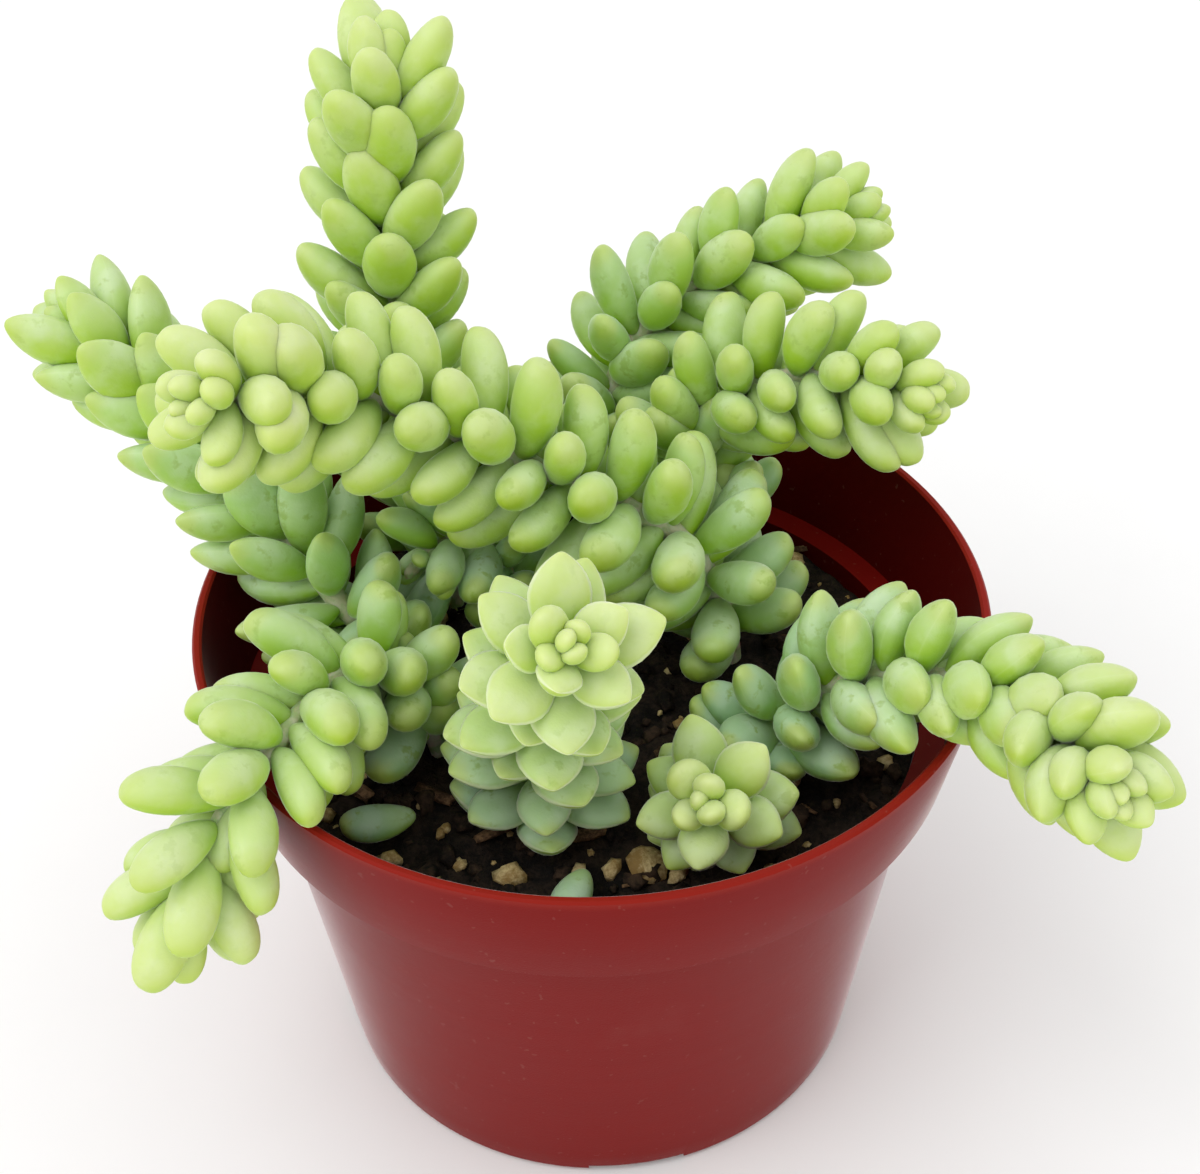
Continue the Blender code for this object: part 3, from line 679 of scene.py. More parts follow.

# %% [markdown]
# ## Where the stems run
#
# Each stem has a route from the soil to its tip through a few given points, and a
# few numbers that describe its leaves. A curve object could be drawn through the points.
# A Catmull-Rom curve worked out in Python passes through every point too, and it also says
# where the stem is and which way it points at any distance, which the leaves need.
#
# Besides its route, a stem has the kind of its leaves; the length of a grown leaf, its width
# of its length and its thickness of its width; its angle to the stalk and how much further
# the oldest leaves droop; the distance along the stalk between leaves; the bare length above
# the soil; the distance from the tip over which leaves grow; and a seed for its draws.

# %% Routes of the stems
STEMS = {
    "stem_upright": dict(
        route=((-0.0205, 0.0200, 0.0570), (-0.0240, 0.0240, 0.0740), (-0.0265, 0.0290, 0.0920),
               (-0.0270, 0.0330, 0.1050), (-0.0265, 0.0375, 0.1195), (-0.0260, 0.0400, 0.1335)),
        kind="oval", leaf=0.0154, width=0.50, thick=0.86, angle=48, droop=12,
        pitch=0.00118, bare=0.012, grow=0.004, seed=1),
    "stem_arching": dict(
        route=((0.0200, 0.0080, 0.0570), (0.0180, 0.0070, 0.0695), (0.0120, 0.0050, 0.0830),
               (0.0000, 0.0040, 0.0920), (-0.0140, 0.0030, 0.1010), (-0.0275, 0.0010, 0.1095),
               (-0.0385, -0.0065, 0.1160), (-0.0445, -0.0155, 0.1210)),
        kind="plump", leaf=0.0147, width=0.48, thick=0.94, angle=60, droop=14,
        pitch=0.00112, bare=0.005, grow=0.011, seed=2),
    "stem_far_left": dict(
        route=((-0.0245, 0.0020, 0.0570), (-0.0280, 0.0010, 0.0660), (-0.0345, 0.0005, 0.0765),
               (-0.0415, 0.0070, 0.0835), (-0.0495, 0.0130, 0.0915), (-0.0595, 0.0200, 0.0990),
               (-0.0690, 0.0240, 0.1055)),
        kind="pointed", leaf=0.0148, width=0.52, thick=0.78, angle=46, droop=22,
        pitch=0.00122, bare=0.005, grow=0.006, seed=3),
    "stem_back": dict(
        route=((0.0090, 0.0330, 0.0570), (0.0050, 0.0360, 0.0700), (0.0035, 0.0390, 0.0830),
               (0.0095, 0.0420, 0.0940), (0.0220, 0.0450, 0.1015), (0.0385, 0.0455, 0.1090)),
        kind="oval", leaf=0.0140, width=0.50, thick=0.86, angle=54, droop=16,
        pitch=0.00114, bare=0.007, grow=0.008, seed=4),
    "stem_right": dict(
        route=((0.0230, 0.0240, 0.0570), (0.0190, 0.0250, 0.0700), (0.0145, 0.0250, 0.0835),
               (0.0200, 0.0250, 0.0920), (0.0295, 0.0220, 0.0975), (0.0375, 0.0170, 0.0995),
               (0.0440, 0.0100, 0.1020)),
        kind="plump", leaf=0.0135, width=0.50, thick=0.94, angle=60, droop=12,
        pitch=0.00108, bare=0.009, grow=0.010, seed=5),
    "stem_front_right": dict(
        route=((0.0230, -0.0120, 0.0570), (0.0270, -0.0155, 0.0700), (0.0355, -0.0195, 0.0790),
               (0.0455, -0.0260, 0.0840), (0.0540, -0.0350, 0.0860), (0.0585, -0.0500, 0.0900)),
        kind="pointed", leaf=0.0138, width=0.55, thick=0.84, angle=50, droop=18,
        pitch=0.00108, bare=0.003, grow=0.009, seed=6),
    "stem_front": dict(
        route=((-0.0075, -0.0220, 0.0570), (-0.0070, -0.0235, 0.0650), (-0.0065, -0.0260, 0.0760),
               (-0.0045, -0.0320, 0.0935), (-0.0025, -0.0400, 0.1040)),
        kind="scale", leaf=0.0131, width=0.56, thick=0.70, angle=66, droop=26,
        pitch=0.00103, bare=0.001, grow=0.009, seed=7),
    "stem_small_front": dict(
        route=((0.0160, -0.0250, 0.0570), (0.0158, -0.0275, 0.0635), (0.0149, -0.0325, 0.0700),
               (0.0138, -0.0385, 0.0765)),
        kind="scale", leaf=0.0112, width=0.60, thick=0.74, angle=74, droop=10,
        pitch=0.00116, bare=0.001, grow=0.006, seed=8),
    "stem_trailing": dict(
        route=((-0.0210, -0.0100, 0.0570), (-0.0240, -0.0120, 0.0700), (-0.0290, -0.0165, 0.0805),
               (-0.0350, -0.0255, 0.0825), (-0.0400, -0.0340, 0.0810), (-0.0450, -0.0400, 0.0775),
               (-0.0485, -0.0435, 0.0710), (-0.0505, -0.0455, 0.0650)),
        kind="plump", leaf=0.0134, width=0.49, thick=0.94, angle=58, droop=16,
        pitch=0.00116, bare=0.003, grow=0.005, seed=9),
    "stem_inner": dict(
        route=((-0.0090, 0.0080, 0.0570), (-0.0110, 0.0095, 0.0680), (-0.0140, 0.0100, 0.0775),
               (-0.0205, 0.0060, 0.0815), (-0.0250, 0.0000, 0.0810)),
        kind="oval", leaf=0.0134, width=0.49, thick=0.88, angle=60, droop=16,
        pitch=0.00126, bare=0.005, grow=0.010, seed=10),
}
ROOT_DEPTH = 0.0070          # how far a stalk goes down into the soil
LINE_STEP = 0.00025          # spacing of the points that describe a stalk's middle line
CURVE_STEPS = 24             # points between two of a route, before they are spaced evenly

print("stems:", len(STEMS))

# %% Smooth lines
def smooth_line(points):
    """Evenly spaced points along a smooth curve through the given ones."""
    given = [Vector(point) for point in points]
    ends = [2.0 * given[0] - given[1], *given, 2.0 * given[-1] - given[-2]]
    fine = []
    for a, b, c, d in zip(ends, ends[1:], ends[2:], ends[3:]):
        for step in range(CURVE_STEPS):
            t = step / CURVE_STEPS
            bend = (2.0 * a - 5.0 * b + 4.0 * c - d) * t * t + (3.0 * b - a - 3.0 * c + d) * t ** 3
            fine.append(0.5 * (2.0 * b + (c - a) * t + bend))
    fine.append(given[-1])
    walked = [0.0]
    for first, second in zip(fine, fine[1:]):
        walked.append(walked[-1] + (second - first).length)
    count = round(walked[-1] / LINE_STEP)
    even = []
    place = 0
    for number in range(count + 1):
        goal = walked[-1] * number / count
        while place < len(fine) - 2 and walked[place + 1] < goal:
            place += 1
        share = (goal - walked[place]) / (walked[place + 1] - walked[place])
        even.append(fine[place].lerp(fine[place + 1], share))
    return even


def stalk_line(stem):
    """A stalk's middle line, from the end of its root to its tip."""
    first = Vector(stem["route"][0])
    return smooth_line((first - Vector((0.0, 0.0, ROOT_DEPTH)), *stem["route"]))


lines = {name: stalk_line(stem) for name, stem in STEMS.items()}
for name, line in lines.items():
    print(name, round(1000.0 * LINE_STEP * (len(line) - 1)), "mm long")

# %% [markdown]
# ## How the leaves sit on a stem
#
# A plant sets each new leaf at the golden angle from the last one, which packs them in a
# spiral with no two in line. The leaves near the tip are small and closed; further down they
# reach full size and spread, and the oldest ones droop. A particle system could scatter
# leaves on the stalk, but it doesn't know this order, and its copies aren't exported.
# The class Leaf holds one leaf's root, direction, upper side and size.

# %% Leaves in their spiral
GOLDEN_ANGLE = math.radians(137.508)
LEAF_BEND = 0.30             # rise of its tip towards the stem's tip, of its thickness
BUD_SIZE = 0.28              # youngest leaf at the tip, of a grown leaf
BUD_THICKNESS = 0.98         # of its width
BUD_ANGLE = math.radians(14.0)
BUD_BREADTH = 1.25           # width of a bud compared with a grown leaf's
BUD_REACH = 0.0075           # distance from the tip over which leaves open
OPENING = 0.7                # below one, leaves open quickly at first
GROWING = 0.8                # below one, leaves grow quickly at first
DROOP_REACH = 0.060          # distance from the tip at which they droop fully
FIRST_LEAF = 0.0006          # distance of the youngest leaf from the tip
TIP_REACH = 0.010            # distance from the tip over which leaves stand closer
TIP_PITCH = 0.55             # their distance at the tip, of the full pitch
WAY_POINTS = 3               # a stalk's direction is taken over this many points each way
SPIRAL_START = Vector((0.30, 1.0, 0.20))
TURN_SPREAD = 0.22           # small random differences, in radians or as shares
ANGLE_SPREAD = 0.14
LENGTH_SPREAD = (0.90, 1.08)
WIDTH_SPREAD = 0.05
BALL_SHARES = (0.26, 0.40, 0.54, 0.68, 0.82, 0.93)   # where balls fill a leaf
LEAF_KINDS = {               # how far out a leaf is widest, and how slender its ends are
    "plump": (1.36, 0.375),
    "oval": (1.26, 0.45),
    "pointed": (1.18, 0.60),
    "scale": (1.18, 0.74),
}

print("kinds of leaves:", ", ".join(LEAF_KINDS))

# %% A leaf
class Leaf:
    """One fat leaf: its kind, its root, the way it points, its upper side and its size."""

    def __init__(self, kind, root, along, upper, length, width, thickness):
        self.kind = kind
        self.root = root
        self.along = along.normalized()
        self.upper = (upper - self.along * upper.dot(self.along)).normalized()
        self.length = length
        self.width = width
        self.thickness = thickness

    def middle(self, share):
        """Point on its bent middle line."""
        rise = self.upper * (LEAF_BEND * self.thickness * share * share)
        return self.root + self.along * (self.length * share) + rise

    def balls(self):
        """Balls (x, y, z, radius) that fill it, beyond its narrow root."""
        filled = []
        for share in BALL_SHARES:
            radius = 0.5 * self.width * leaf_radius(self.kind, share)
            filled.append((*self.middle(share), radius))
        return np.array(filled)

    def swung(self, lift, turn, size, stalk_way):
        """A copy swung towards the stem's tip, turned round the stalk and shrunk."""
        hinge = self.along.cross(stalk_way)
        move = Matrix.Rotation(turn, 3, stalk_way) @ Matrix.Rotation(lift, 3, hinge)
        return Leaf(self.kind, self.root, move @ self.along, move @ self.upper,
                    self.length * size, self.width * size, self.thickness * size)

    def matrix(self):
        """Places the leaf of unit size."""
        side = self.upper.cross(self.along)
        axes = (side * self.width, self.upper * self.thickness, self.along * self.length)
        turned_to = Matrix(axes).transposed()
        return Matrix.Translation(self.root) @ turned_to.to_4x4()


def leaf_radius(kind, share):
    """Radius of the leaf's outline at a share of its length, of its half width."""
    outward, slender = LEAF_KINDS[kind]
    return max(0.0, math.sin(math.pi * share ** outward)) ** slender


widest = max(range(100), key=lambda share: leaf_radius("plump", share / 100.0))
print("a plump leaf is widest at", widest, "hundredths of its length")

# %% The spiral
def leaves_on(stem, line):
    """Leaves of a stem from its tip down, set in the spiral that the golden angle makes."""
    draw = random.Random(stem["seed"])
    leafy = LINE_STEP * (len(line) - 1) - ROOT_DEPTH - stem["bare"]
    reach = FIRST_LEAF
    number = 0
    while reach < leafy:
        spot = len(line) - 1 - round(reach / LINE_STEP)
        ahead = min(spot + WAY_POINTS, len(line) - 1)
        way = (line[ahead] - line[spot - WAY_POINTS]).normalized()
        across = way.cross(SPIRAL_START).normalized()
        turn = number * GOLDEN_ANGLE + draw.uniform(-TURN_SPREAD, TURN_SPREAD)
        out = Matrix.Rotation(turn, 3, way) @ across
        grown = min(1.0, BUD_SIZE + (1.0 - BUD_SIZE) * (reach / stem["grow"]) ** GROWING)
        opened = min(1.0, reach / BUD_REACH) ** OPENING
        angle = BUD_ANGLE + (math.radians(stem["angle"]) - BUD_ANGLE) * opened
        angle += math.radians(stem["droop"]) * min(1.0, reach / DROOP_REACH)
        angle += draw.uniform(-ANGLE_SPREAD, ANGLE_SPREAD)
        length = stem["leaf"] * grown * draw.uniform(*LENGTH_SPREAD)
        width = length * stem["width"] * draw.uniform(1.0 - WIDTH_SPREAD, 1.0 + WIDTH_SPREAD)
        width *= BUD_BREADTH + (1.0 - BUD_BREADTH) * grown
        along = math.cos(angle) * way + math.sin(angle) * out
        upper = math.sin(angle) * way - math.cos(angle) * out
        thickness = width * (stem["thick"] + (BUD_THICKNESS - stem["thick"]) * (1.0 - grown))
        yield Leaf(stem["kind"], line[spot], along, upper, length, width, thickness), way
        reach += stem["pitch"] * (TIP_PITCH + (1.0 - TIP_PITCH) * min(1.0, reach / TIP_REACH))
        number += 1


spiral = list(leaves_on(STEMS["stem_front"], lines["stem_front"]))
print("leaves on the front stem:", len(spiral))

# %% [markdown]
# ## Leaves that make room
#
# Where two stems come close, real leaves push each other aside. Solving that with physics
# would be slow. Instead each leaf is filled with a few balls, and a leaf whose balls come too
# near to the pot, the soil or another stem is swung, turned or shrunk a little, by the
# smallest change that clears it. A leaf that nothing clears has dropped off.

# %% Stalks and leaves on the soil
STALK_RADIUS = 0.0018
STALK_TIP_RADIUS = 0.0009
LEAF_GAP = 0.0006            # air kept between a leaf and other pieces
BALL_STEP = 0.0015           # distance between the balls that fill a stalk
TRIED_SIZES = (1.0, 0.88, 0.76, 0.64)        # how a crowded leaf may change
TRIED_LIFTS = (0.0, 0.2, 0.4, -0.2, 0.6, -0.4)
TRIED_TURNS = (0.0, 0.25, -0.25, 0.5, -0.5)
FALLEN_WIDTH = 0.55          # of its length
FALLEN_THICKNESS = 0.85      # of its width
FALLEN_GAP = 0.0012          # a fallen leaf's height above the soil
FALLEN_LEAVES = {            # middle (x, y), heading of the tip in degrees, length
    "leaf_fallen_left": (-0.0285, -0.0260, 200.0, 0.0105),
    "leaf_fallen_front": (-0.0030, -0.0395, 250.0, 0.0095),
    "leaf_fallen_right": (0.0330, 0.0060, 20.0, 0.0110),
}


def fallen_leaf(x, y, heading, length):
    """A dropped leaf that lies on the soil."""
    turn = math.radians(heading)
    along = Vector((math.cos(turn), math.sin(turn), 0.0))
    width = FALLEN_WIDTH * length
    thickness = FALLEN_THICKNESS * width
    height = soil_height(x, y) + 0.5 * thickness + FALLEN_GAP
    root = Vector((x, y, height)) - along * (0.5 * length)
    return Leaf("plump", root, along, Vector((0.0, 0.0, 1.0)), length, width, thickness)


dropped = {name: fallen_leaf(*place) for name, place in FALLEN_LEAVES.items()}
print("leaves on the soil:", len(dropped))

# %% Room round a leaf
def wall_distance(radius, height):
    """Distance from a point (radius, height) to the pot's upper wall."""
    corners = np.array(pot_profile()[1:12])
    starts = corners[:-1]
    runs = corners[1:] - starts
    offsets = np.array((radius, height)) - starts
    shares = np.clip((offsets * runs).sum(axis=1) / (runs * runs).sum(axis=1), 0.0, 1.0)
    return np.sqrt(((offsets - runs * shares[:, None]) ** 2).sum(axis=1)).min()


def is_clear(balls, others):
    """Whether a leaf's balls keep the gap to the pot, the soil and other stems."""
    for x, y, z, radius in balls:
        across = math.hypot(x, y)
        if wall_distance(across, z) < radius + LEAF_GAP:
            return False
        if across < NECK_RADIUS and z - radius < soil_height(x, y) + LEAF_GAP:
            return False
    away = np.linalg.norm(balls[:, None, :3] - others[None, :, :3], axis=2)
    return bool((away > balls[:, None, 3] + others[None, :, 3] + LEAF_GAP).all())


def made_clear(leaf, way, others):
    """The leaf itself, or the least changed copy that touches nothing else, or None."""
    for size in TRIED_SIZES:
        for lift in TRIED_LIFTS:
            for turn in TRIED_TURNS:
                tried = leaf.swung(lift, turn, size, way)
                if is_clear(tried.balls(), others):
                    return tried
    return None


print("the middle of the soil is", round(1000.0 * wall_distance(0.0, SOIL_HEIGHT), 1), "mm from the wall")

# %% Laying out every stem
def stalk_radius(share):
    """Radius of a stalk at a share of the way from the root to the tip."""
    return STALK_RADIUS + (STALK_TIP_RADIUS - STALK_RADIUS) * share ** 2


def stalk_balls(line):
    """Balls that fill a stalk along its whole line, the part in the soil too."""
    stride = round(BALL_STEP / LINE_STEP)
    shares = [number / len(line) for number in range(0, len(line), stride)]
    return np.array([(*line[::stride][n], stalk_radius(share)) for n, share in enumerate(shares)])


taken = {name: leaf.balls() for name, leaf in dropped.items()}
taken.update({name: stalk_balls(line) for name, line in lines.items()})
leaves = {}
for name, stem in STEMS.items():
    others = np.vstack([balls for owner, balls in taken.items() if owner != name])
    leaves[name] = [made_clear(leaf, way, others) for leaf, way in leaves_on(stem, lines[name])]
    taken[name] = np.vstack([taken[name], *(leaf.balls() for leaf in leaves[name] if leaf)])
print("leaves:", sum(1 for row in leaves.values() for leaf in row if leaf),
      "and dropped:", sum(1 for row in leaves.values() for leaf in row if leaf is None))

# %% [markdown]
# ## One leaf, modelled once
#
# A leaf of this plant is a fat teardrop: narrow where it joins the stalk, widest past its
# middle, flatter above than below, and bent up a little. It could be sculpted, but it is
# repeated hundreds of times, so it is a cage of a few dozen faces that a Subdivision
# Surface rounds later. A ball with its poles at root and tip is the start, and each of its
# rings is resized and moved to its place in the outline. There are four kinds, from plump
# with a round end to scale-like with a keel below and a point. The pointed kinds have sharper
# sides, which an edge crease keeps through the subdivision, and a number on their corners
# marks those sides for the pale margin in the material, which is partly wax bloom and partly
# painted rim light.

# %% Leaf cages
LEAF_SIDES = 8
CAGE_FILL = 1.10             # a subdivided cage shrinks by this much
CAGE_RINGS = (0.0, 0.06, 0.20, 0.40, 0.60, 0.78, 0.91, 0.98, 1.0)
MARGIN_START = 0.10          # share of a leaf's length at which its margin begins
SLACK = 0.001                # a corner this near to a plane lies in it


def pick_corners(piece, numbers):
    """In edit mode, select the corners with these numbers."""
    pick(piece, lambda place: False)
    bpy.ops.object.mode_set(mode="OBJECT")
    for number in numbers:
        piece.data.vertices[number].select = True
    bpy.ops.object.mode_set(mode="EDIT")


def leaf_cage(kind, above, keel, crease, rim):
    """A leaf of unit size along Z, with its upper side towards +Y, from a ball."""
    select_only()
    bpy.ops.mesh.primitive_uv_sphere_add(segments=LEAF_SIDES, ring_count=len(CAGE_RINGS) - 1,
                                         radius=1.0)
    cage = bpy.context.active_object
    cage.name = kind + "_leaf"
    heights = sorted({round(corner.co.z, 4) for corner in cage.data.vertices})
    rings = [[corner.index for corner in cage.data.vertices if round(corner.co.z, 4) == height]
             for height in heights]
    along_of = {}
    bpy.ops.object.mode_set(mode="EDIT")
    for ring, height, along in zip(rings, heights, CAGE_RINGS):
        pick_corners(cage, ring)
        if along not in (CAGE_RINGS[0], CAGE_RINGS[-1]):
            radius = 0.5 * CAGE_FILL * leaf_radius(kind, along)
            size = radius / math.sqrt(1.0 - height * height)
            bpy.ops.transform.resize(value=(size, size, 1.0), center_override=(0.0, 0.0, height))
        bpy.ops.transform.translate(value=(0.0, 0.0, along - height))
        along_of.update({number: along for number in ring})
    pick(cage, lambda place: place.y > SLACK)
    bpy.ops.transform.resize(value=(1.0, above, 1.0), center_override=(0.0, 0.0, 0.0))
    pick(cage, lambda place: place.y < -SLACK and abs(place.x) < SLACK)
    bpy.ops.transform.resize(value=(1.0, keel, 1.0), center_override=(0.0, 0.0, 0.0))
    bpy.ops.object.mode_set(mode="OBJECT")
    values = [along_of[number] for number in range(len(along_of))]
    cage.data.attributes.new("along", "FLOAT", "POINT").data.foreach_set("value", values)
    sides = [abs(corner.co.y) < SLACK and along_of[corner.index] > MARGIN_START
             for corner in cage.data.vertices]
    values = [rim if side else 0.0 for side in sides]
    cage.data.attributes.new("rim", "FLOAT", "POINT").data.foreach_set("value", values)
    values = [crease if all(sides[number] for number in line.vertices) else 0.0
              for line in cage.data.edges]
    cage.data.attributes.new("crease_edge", "FLOAT", "EDGE").data.foreach_set("value", values)
    bpy.ops.object.mode_set(mode="EDIT")
    for ring, along in zip(rings, CAGE_RINGS):
        pick_corners(cage, ring)
        bpy.ops.transform.translate(value=(0.0, LEAF_BEND * along * along, 0.0))
    bpy.ops.object.mode_set(mode="OBJECT")
    cage.data.shade_smooth()
    return cage


cages = {
    "plump": leaf_cage("plump", above=0.94, keel=1.0, crease=0.0, rim=0.0),
    "oval": leaf_cage("oval", above=0.88, keel=1.02, crease=0.10, rim=0.40),
    "pointed": leaf_cage("pointed", above=0.84, keel=1.04, crease=0.12, rim=0.52),
    "scale": leaf_cage("scale", above=0.74, keel=1.12, crease=0.70, rim=0.80),
}
for name, cage in cages.items():
    print(name, "leaf:", len(cage.data.polygons), "faces")

# %% [markdown]
# ## Leaf skin
#
# The leaves are full of water under a waxy skin, so light sinks in, spreads and comes out
# yellow-green; Subsurface does that. The wax gives a powdery white bloom in patches, seen at
# a slant, where Sheen brings it out, and it is rubbed off in spots. The pale margins are
# partly that bloom and partly painted rim light. The colour also holds painted light: faces
# turned up are painted paler as if lit, and faces turned down and the root of each leaf are
# painted a saturated green as shade.
# Young leaves are pale yellow-green and old ones bluish green with an olive tip. Four numbers
# stored on the corners say how old a leaf is, where on it a point lies, whether that is on
# its margin, and what slight tint the leaf has of its own.

# %% Leaf material
YOUNG = (0.560, 0.670, 0.180)
GROWN = (0.410, 0.590, 0.075)
OLD = (0.265, 0.490, 0.215)
# painted shade: saturated green for the roots of leaves and faces turned down
PAINTED_SHADE_GREEN = (0.360, 0.590, 0.003)
TIP = (0.430, 0.500, 0.020)
# whitish wax bloom, also used as painted light on faces turned up
BLOOM_AND_PAINTED_TOP_LIGHT_YOUNG = (0.720, 0.770, 0.520)
BLOOM_AND_PAINTED_TOP_LIGHT_OLD = (0.660, 0.800, 0.700)
RUBBED = (0.260, 0.400, 0.030)
# pale margin: partly wax bloom, partly painted rim light
MARGIN_BLOOM_AND_RIM_LIGHT = (0.780, 0.840, 0.640)
OWN_TINT = (0.920, 1.000, 0.700)
STALK_GREEN = (0.420, 0.500, 0.250)
STALK_BLUSH = (0.620, 0.580, 0.440)


def leaf_finish():
    """Waxy, fleshy leaf skin that changes with age and along the leaf, with painted light on faces turned
    up and painted shade on faces turned down and at the root.
    """
    finish = Finish("leaf_skin", IOR=1.40, Specular_IOR_Level=0.45, Subsurface_Weight=0.35,
                    Subsurface_Scale=0.0020, Subsurface_Radius=(0.90, 1.0, 0.40),
                    Sheen_Weight=0.60, Sheen_Roughness=0.22, Sheen_Tint=(0.95, 1.0, 0.92, 1.0))
    age = finish.attribute("age")
    along = finish.attribute("along")
    tint = finish.attribute("tint")
    rim = finish.attribute("rim")
    where = finish.place()
    patches = finish.noise(where, 210.0, detail=3.0)
    blotches = finish.noise(where, 430.0, detail=4.0, roughness=0.6)
    powder = finish.noise(where, 2600.0, detail=2.0)
    facing = finish.add("ShaderNodeTexCoord", output="Normal")
    upward = finish.add("ShaderNodeSeparateXYZ", {}, {"Vector": facing}, output="Z")
    colour = finish.blend(finish.step(age, 0.0, 0.55), YOUNG, GROWN)
    colour = finish.blend(finish.step(age, 0.45, 1.0), colour, OLD)
    # painted shade: the root of each leaf, between its neighbours, is painted saturated green
    colour = finish.blend((1 - finish.step(along, 0.15, 0.65)) * 0.70, colour, PAINTED_SHADE_GREEN)
    # painted shade: faces turned down are painted saturated green
    colour = finish.blend((1 - finish.step(upward, -0.8, 0.4)) * 0.65, colour, PAINTED_SHADE_GREEN)
    # real wax bloom in patches, plus painted light on faces turned up
    wax_and_painted_top_light = finish.blend(age, BLOOM_AND_PAINTED_TOP_LIGHT_YOUNG, BLOOM_AND_PAINTED_TOP_LIGHT_OLD)
    bloom_and_painted_top_light = finish.step(patches, 0.38, 0.66) * 0.40 + finish.step(upward, -0.1, 0.9) * 0.60
    colour = finish.blend(bloom_and_painted_top_light * 0.62, colour, wax_and_painted_top_light)
    tip = finish.step(along + patches * 0.30, 0.94, 1.14)
    colour = finish.blend(tip * (age * 0.60 + 0.08), colour, TIP)
    rubbed = finish.step(blotches, 0.54, 0.66) * finish.step(patches, 0.44, 0.58)
    colour = finish.blend(rubbed * age * 0.70, colour, RUBBED)
    # pale margin on the leaf's sides: partly wax bloom, partly painted rim light
    colour = finish.blend(finish.step(rim, 0.45, 0.75) * 0.60, colour, MARGIN_BLOOM_AND_RIM_LIGHT)
    colour = finish.blend(tint * 0.30, colour, OWN_TINT, mode="MULTIPLY")
    finish.feed("Base Color", colour)
    finish.feed("Roughness", patches * 0.24 + powder * 0.08 + 0.30)
    finish.bump(patches * 0.5 + blotches * 0.35 + powder * 0.15, 0.00022)
    return finish.material


def stalk_finish():
    """Pale stalk skin, mottled green and blush."""
    finish = Finish("stalk_skin", Subsurface_Weight=0.25, Subsurface_Scale=0.002)
    where = finish.place()
    mottle = finish.noise(where, 700.0, detail=3.0)
    colour = finish.blend(finish.step(mottle, 0.40, 0.62), STALK_GREEN, STALK_BLUSH)
    finish.feed("Base Color", colour)
    finish.feed("Roughness", mottle * 0.20 + 0.50)
    finish.bump(mottle, 0.0003)
    return finish.material


leaf_skin = leaf_finish()
stalk_skin = stalk_finish()
print("leaf material:", len(leaf_skin.node_tree.nodes), "nodes")

# %% [markdown]
# ## Stalks
#
# A stalk is a tapering tube. It could be a cylinder bent by a modifier, but a curve with a
# round bevel follows its route exactly and takes a radius at every point. It is then
# converted to a mesh, and its loose end caps are merged with the tube.

# %% Stalks
STALK_STRIDE = 0.0015        # distance between the rings of a stalk


def stalk_tube(line):
    """A stalk along its middle line as a closed mesh."""
    select_only()
    bpy.ops.curve.primitive_nurbs_path_add()
    tube = bpy.context.active_object
    curve = tube.data
    curve.splines.clear()
    curve.bevel_depth = 1.0
    curve.bevel_resolution = 2
    curve.use_fill_caps = True
    chosen = line[::round(STALK_STRIDE / LINE_STEP)]
    chosen[-1] = line[-1]
    spline = curve.splines.new("POLY")
    spline.points.add(len(chosen) - 1)
    for number, point in enumerate(chosen):
        spline.points[number].co = (*point, 1.0)
        spline.points[number].radius = stalk_radius(number / (len(chosen) - 1))
    bpy.ops.object.convert(target="MESH")
    bpy.ops.object.mode_set(mode="EDIT")
    bpy.ops.mesh.select_all(action="SELECT")
    bpy.ops.mesh.remove_doubles(threshold=0.00001)
    bpy.ops.mesh.normals_make_consistent(inside=False)
    bpy.ops.object.mode_set(mode="OBJECT")
    tube.data.shade_smooth()
    return tube


stalks = {name: stalk_tube(line) for name, line in lines.items()}
print("stalks:", len(stalks))

# %% [markdown]
# ## Leafy stems
#
# Every leaf is a copy of a cage with a mesh of its own, moved to its place in the spiral and
# given its age and a slight tint of its own. The buds in the two front rosettes have no keel
# yet, so they take the oval cage. The leaves of a stem and its stalk are joined into one
# piece, and one Subdivision Surface rounds them all.

# %% Growing the stems
ROUND_BUDS = 6               # youngest leaves of a rosette that have no keel yet
AGE_SPREAD = 0.08            # how far a leaf's age strays from its place on the stem
FALLEN_AGE = 0.95
FALLEN_TINT = 0.5
LEAF_AGES = {                # age of the leaves at the tip and at the soil
    "stem_upright": (0.20, 0.75),
    "stem_arching": (0.00, 0.80),
    "stem_far_left": (0.45, 0.85),
    "stem_back": (0.35, 0.85),
    "stem_right": (0.10, 0.85),
    "stem_front_right": (0.05, 1.00),
    "stem_front": (0.00, 1.00),
    "stem_small_front": (0.00, 0.90),
    "stem_trailing": (0.05, 0.90),
    "stem_inner": (0.60, 1.00),
}


def grown_leaf(leaf, kind, age, tint):
    """A copy of a kind's cage in its leaf's place, with its age and tint on its corners."""
    copy = cages[kind].copy()
    copy.data = copy.data.copy()
    copy.data.transform(leaf.matrix())
    for layer, value in (("age", age), ("tint", tint)):
        values = [value] * len(copy.data.vertices)
        copy.data.attributes.new(layer, "FLOAT", "POINT").data.foreach_set("value", values)
    copy.data.materials.append(leaf_skin)
    bpy.context.collection.objects.link(copy)
    return copy


def rounded(piece):
    """Smooth a cage by one level of subdivision, the same in the viewport and the render."""
    smooth = piece.modifiers.new("rounded", "SUBSURF")
    smooth.levels = 1
    smooth.render_levels = 1


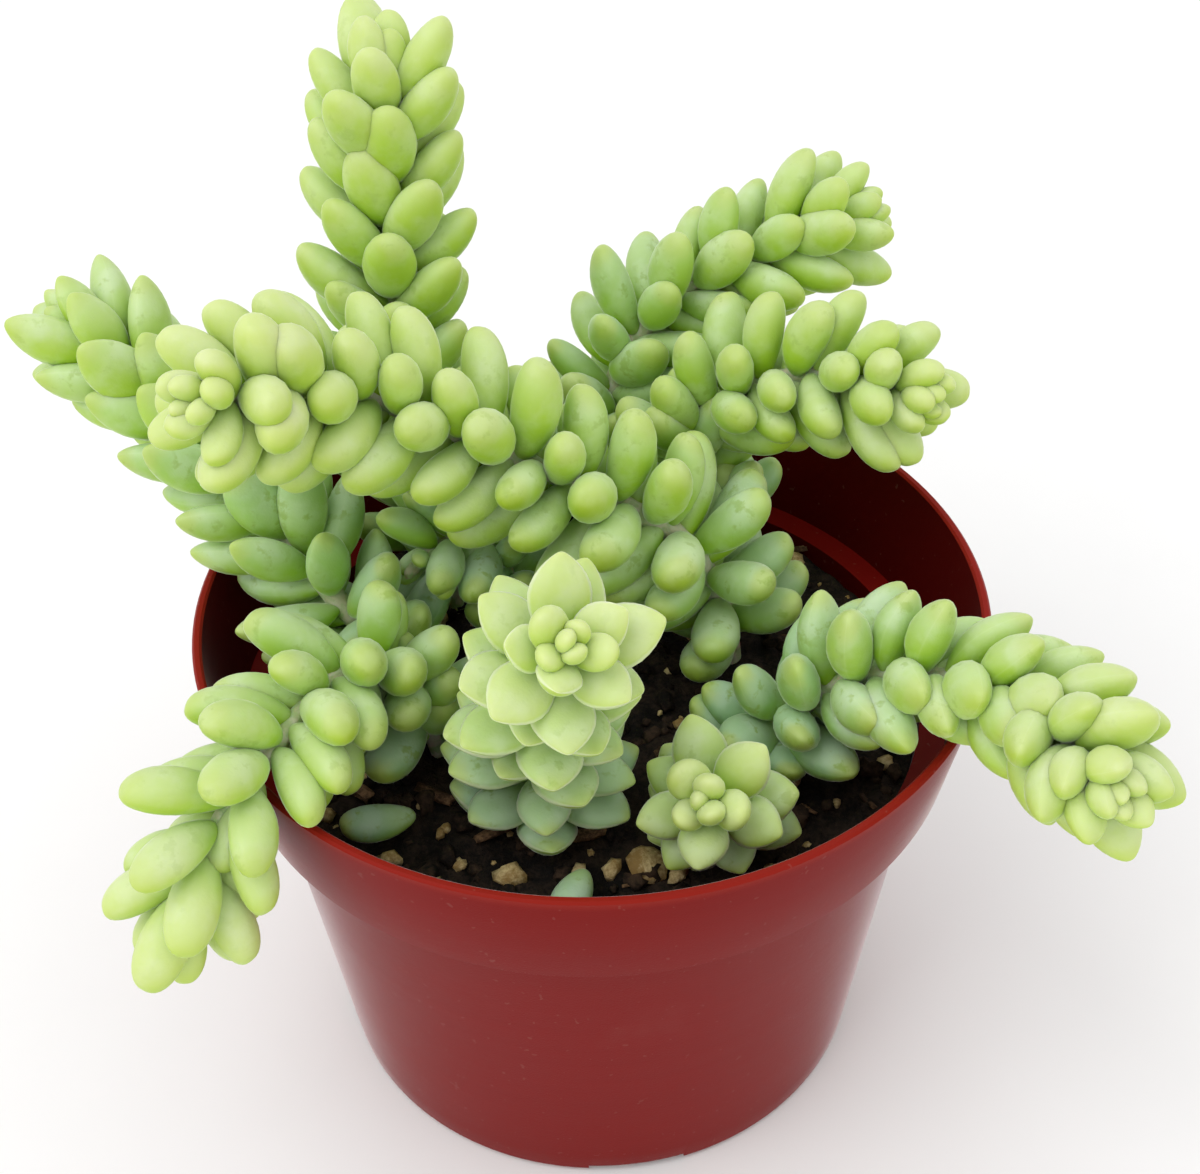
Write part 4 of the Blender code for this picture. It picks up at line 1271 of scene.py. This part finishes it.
def leafy_stem(name):
    """A stalk and its leaves as one piece."""
    young, old = LEAF_AGES[name]
    draw = random.Random(STEMS[name]["seed"] + 100)
    stalk = stalks[name]
    stalk.data.materials.append(leaf_skin)
    stalk.data.materials.append(stalk_skin)
    for face in stalk.data.polygons:
        face.material_index = 1
    pieces = [stalk]
    for number, leaf in enumerate(leaves[name]):
        age = young + (old - young) * number / len(leaves[name])
        age += draw.uniform(-AGE_SPREAD, AGE_SPREAD)
        tint = draw.uniform(0.0, 1.0)
        if leaf:
            kind = "oval" if leaf.kind == "scale" and number < ROUND_BUDS else leaf.kind
            pieces.append(grown_leaf(leaf, kind, max(0.0, min(1.0, age)), tint))
    select_only(*pieces)
    bpy.ops.object.join()
    stem = bpy.context.active_object
    stem.name = name.replace("stem", "foliage")
    stem.data.name = stem.name
    rounded(stem)
    return stem


shown = 0
for name in STEMS:
    stem = leafy_stem(name)
    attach(stem, "root")
    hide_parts(name)
    count = triangles(stem)
    shown += count
    print(stem.name, count, "triangles")

# %% Dropped leaves
for name, leaf in dropped.items():
    piece = grown_leaf(leaf, leaf.kind, FALLEN_AGE, FALLEN_TINT)
    piece.name = name.replace("leaf_fallen", "dropped_leaf")
    piece.data.name = piece.name
    rounded(piece)
    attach(piece, "root")
    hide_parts(name)
    shown += triangles(piece)
for cage in cages.values():
    bpy.data.objects.remove(cage, do_unlink=True)
print("foliage in all:", shown, "triangles")

# %% [markdown]
# ## Floor and light
#
# A plain pale floor and a white sky of even light leave soft shadows only. One large lamp
# above and to the left gives the leaves a bright side. The Standard view keeps the colours
# as they are mixed, where the default one would dull the pale greens.

# %% Floor, lamp and sky
FLOOR_SIZE = 4.0
LAMP_PLACE = (-0.45, -0.35, 0.95)
LAMP_SIZE = 0.70
LAMP_POWER = 3.4
SKY_STRENGTH = 1.0


def add_floor():
    """A wide pale floor under the pot, which isn't part of the object."""
    select_only()
    bpy.ops.mesh.primitive_plane_add(size=FLOOR_SIZE)
    floor = bpy.context.active_object
    floor.name = "floor"
    finish = Finish("floor_white", Roughness=0.9)
    speckle = finish.noise(finish.place(), 60.0)
    finish.feed("Base Color", finish.blend(speckle, (0.90, 0.90, 0.90), (0.92, 0.92, 0.92)))
    floor.data.materials.append(finish.material)


def add_light():
    """One large soft lamp and an even white sky."""
    bpy.ops.object.light_add(type="AREA", location=LAMP_PLACE)
    lamp = bpy.context.active_object
    lamp.name = "soft_lamp"
    lamp.data.size = LAMP_SIZE
    lamp.data.energy = LAMP_POWER
    towards = Vector((0.0, 0.0, POT_HEIGHT)) - Vector(LAMP_PLACE)
    lamp.rotation_euler = towards.to_track_quat("-Z", "Y").to_euler()
    world = bpy.data.worlds.new("sky")
    bpy.context.scene.world = world
    world.use_nodes = True
    sky = world.node_tree.nodes["Background"]
    sky.inputs["Color"].default_value = (1.0, 1.0, 1.0, 1.0)
    sky.inputs["Strength"].default_value = SKY_STRENGTH


add_floor()
add_light()
bpy.context.scene.view_settings.view_transform = "Standard"
print("lights are on")

# %% Size of the imported model
print("packed:", cad_box)
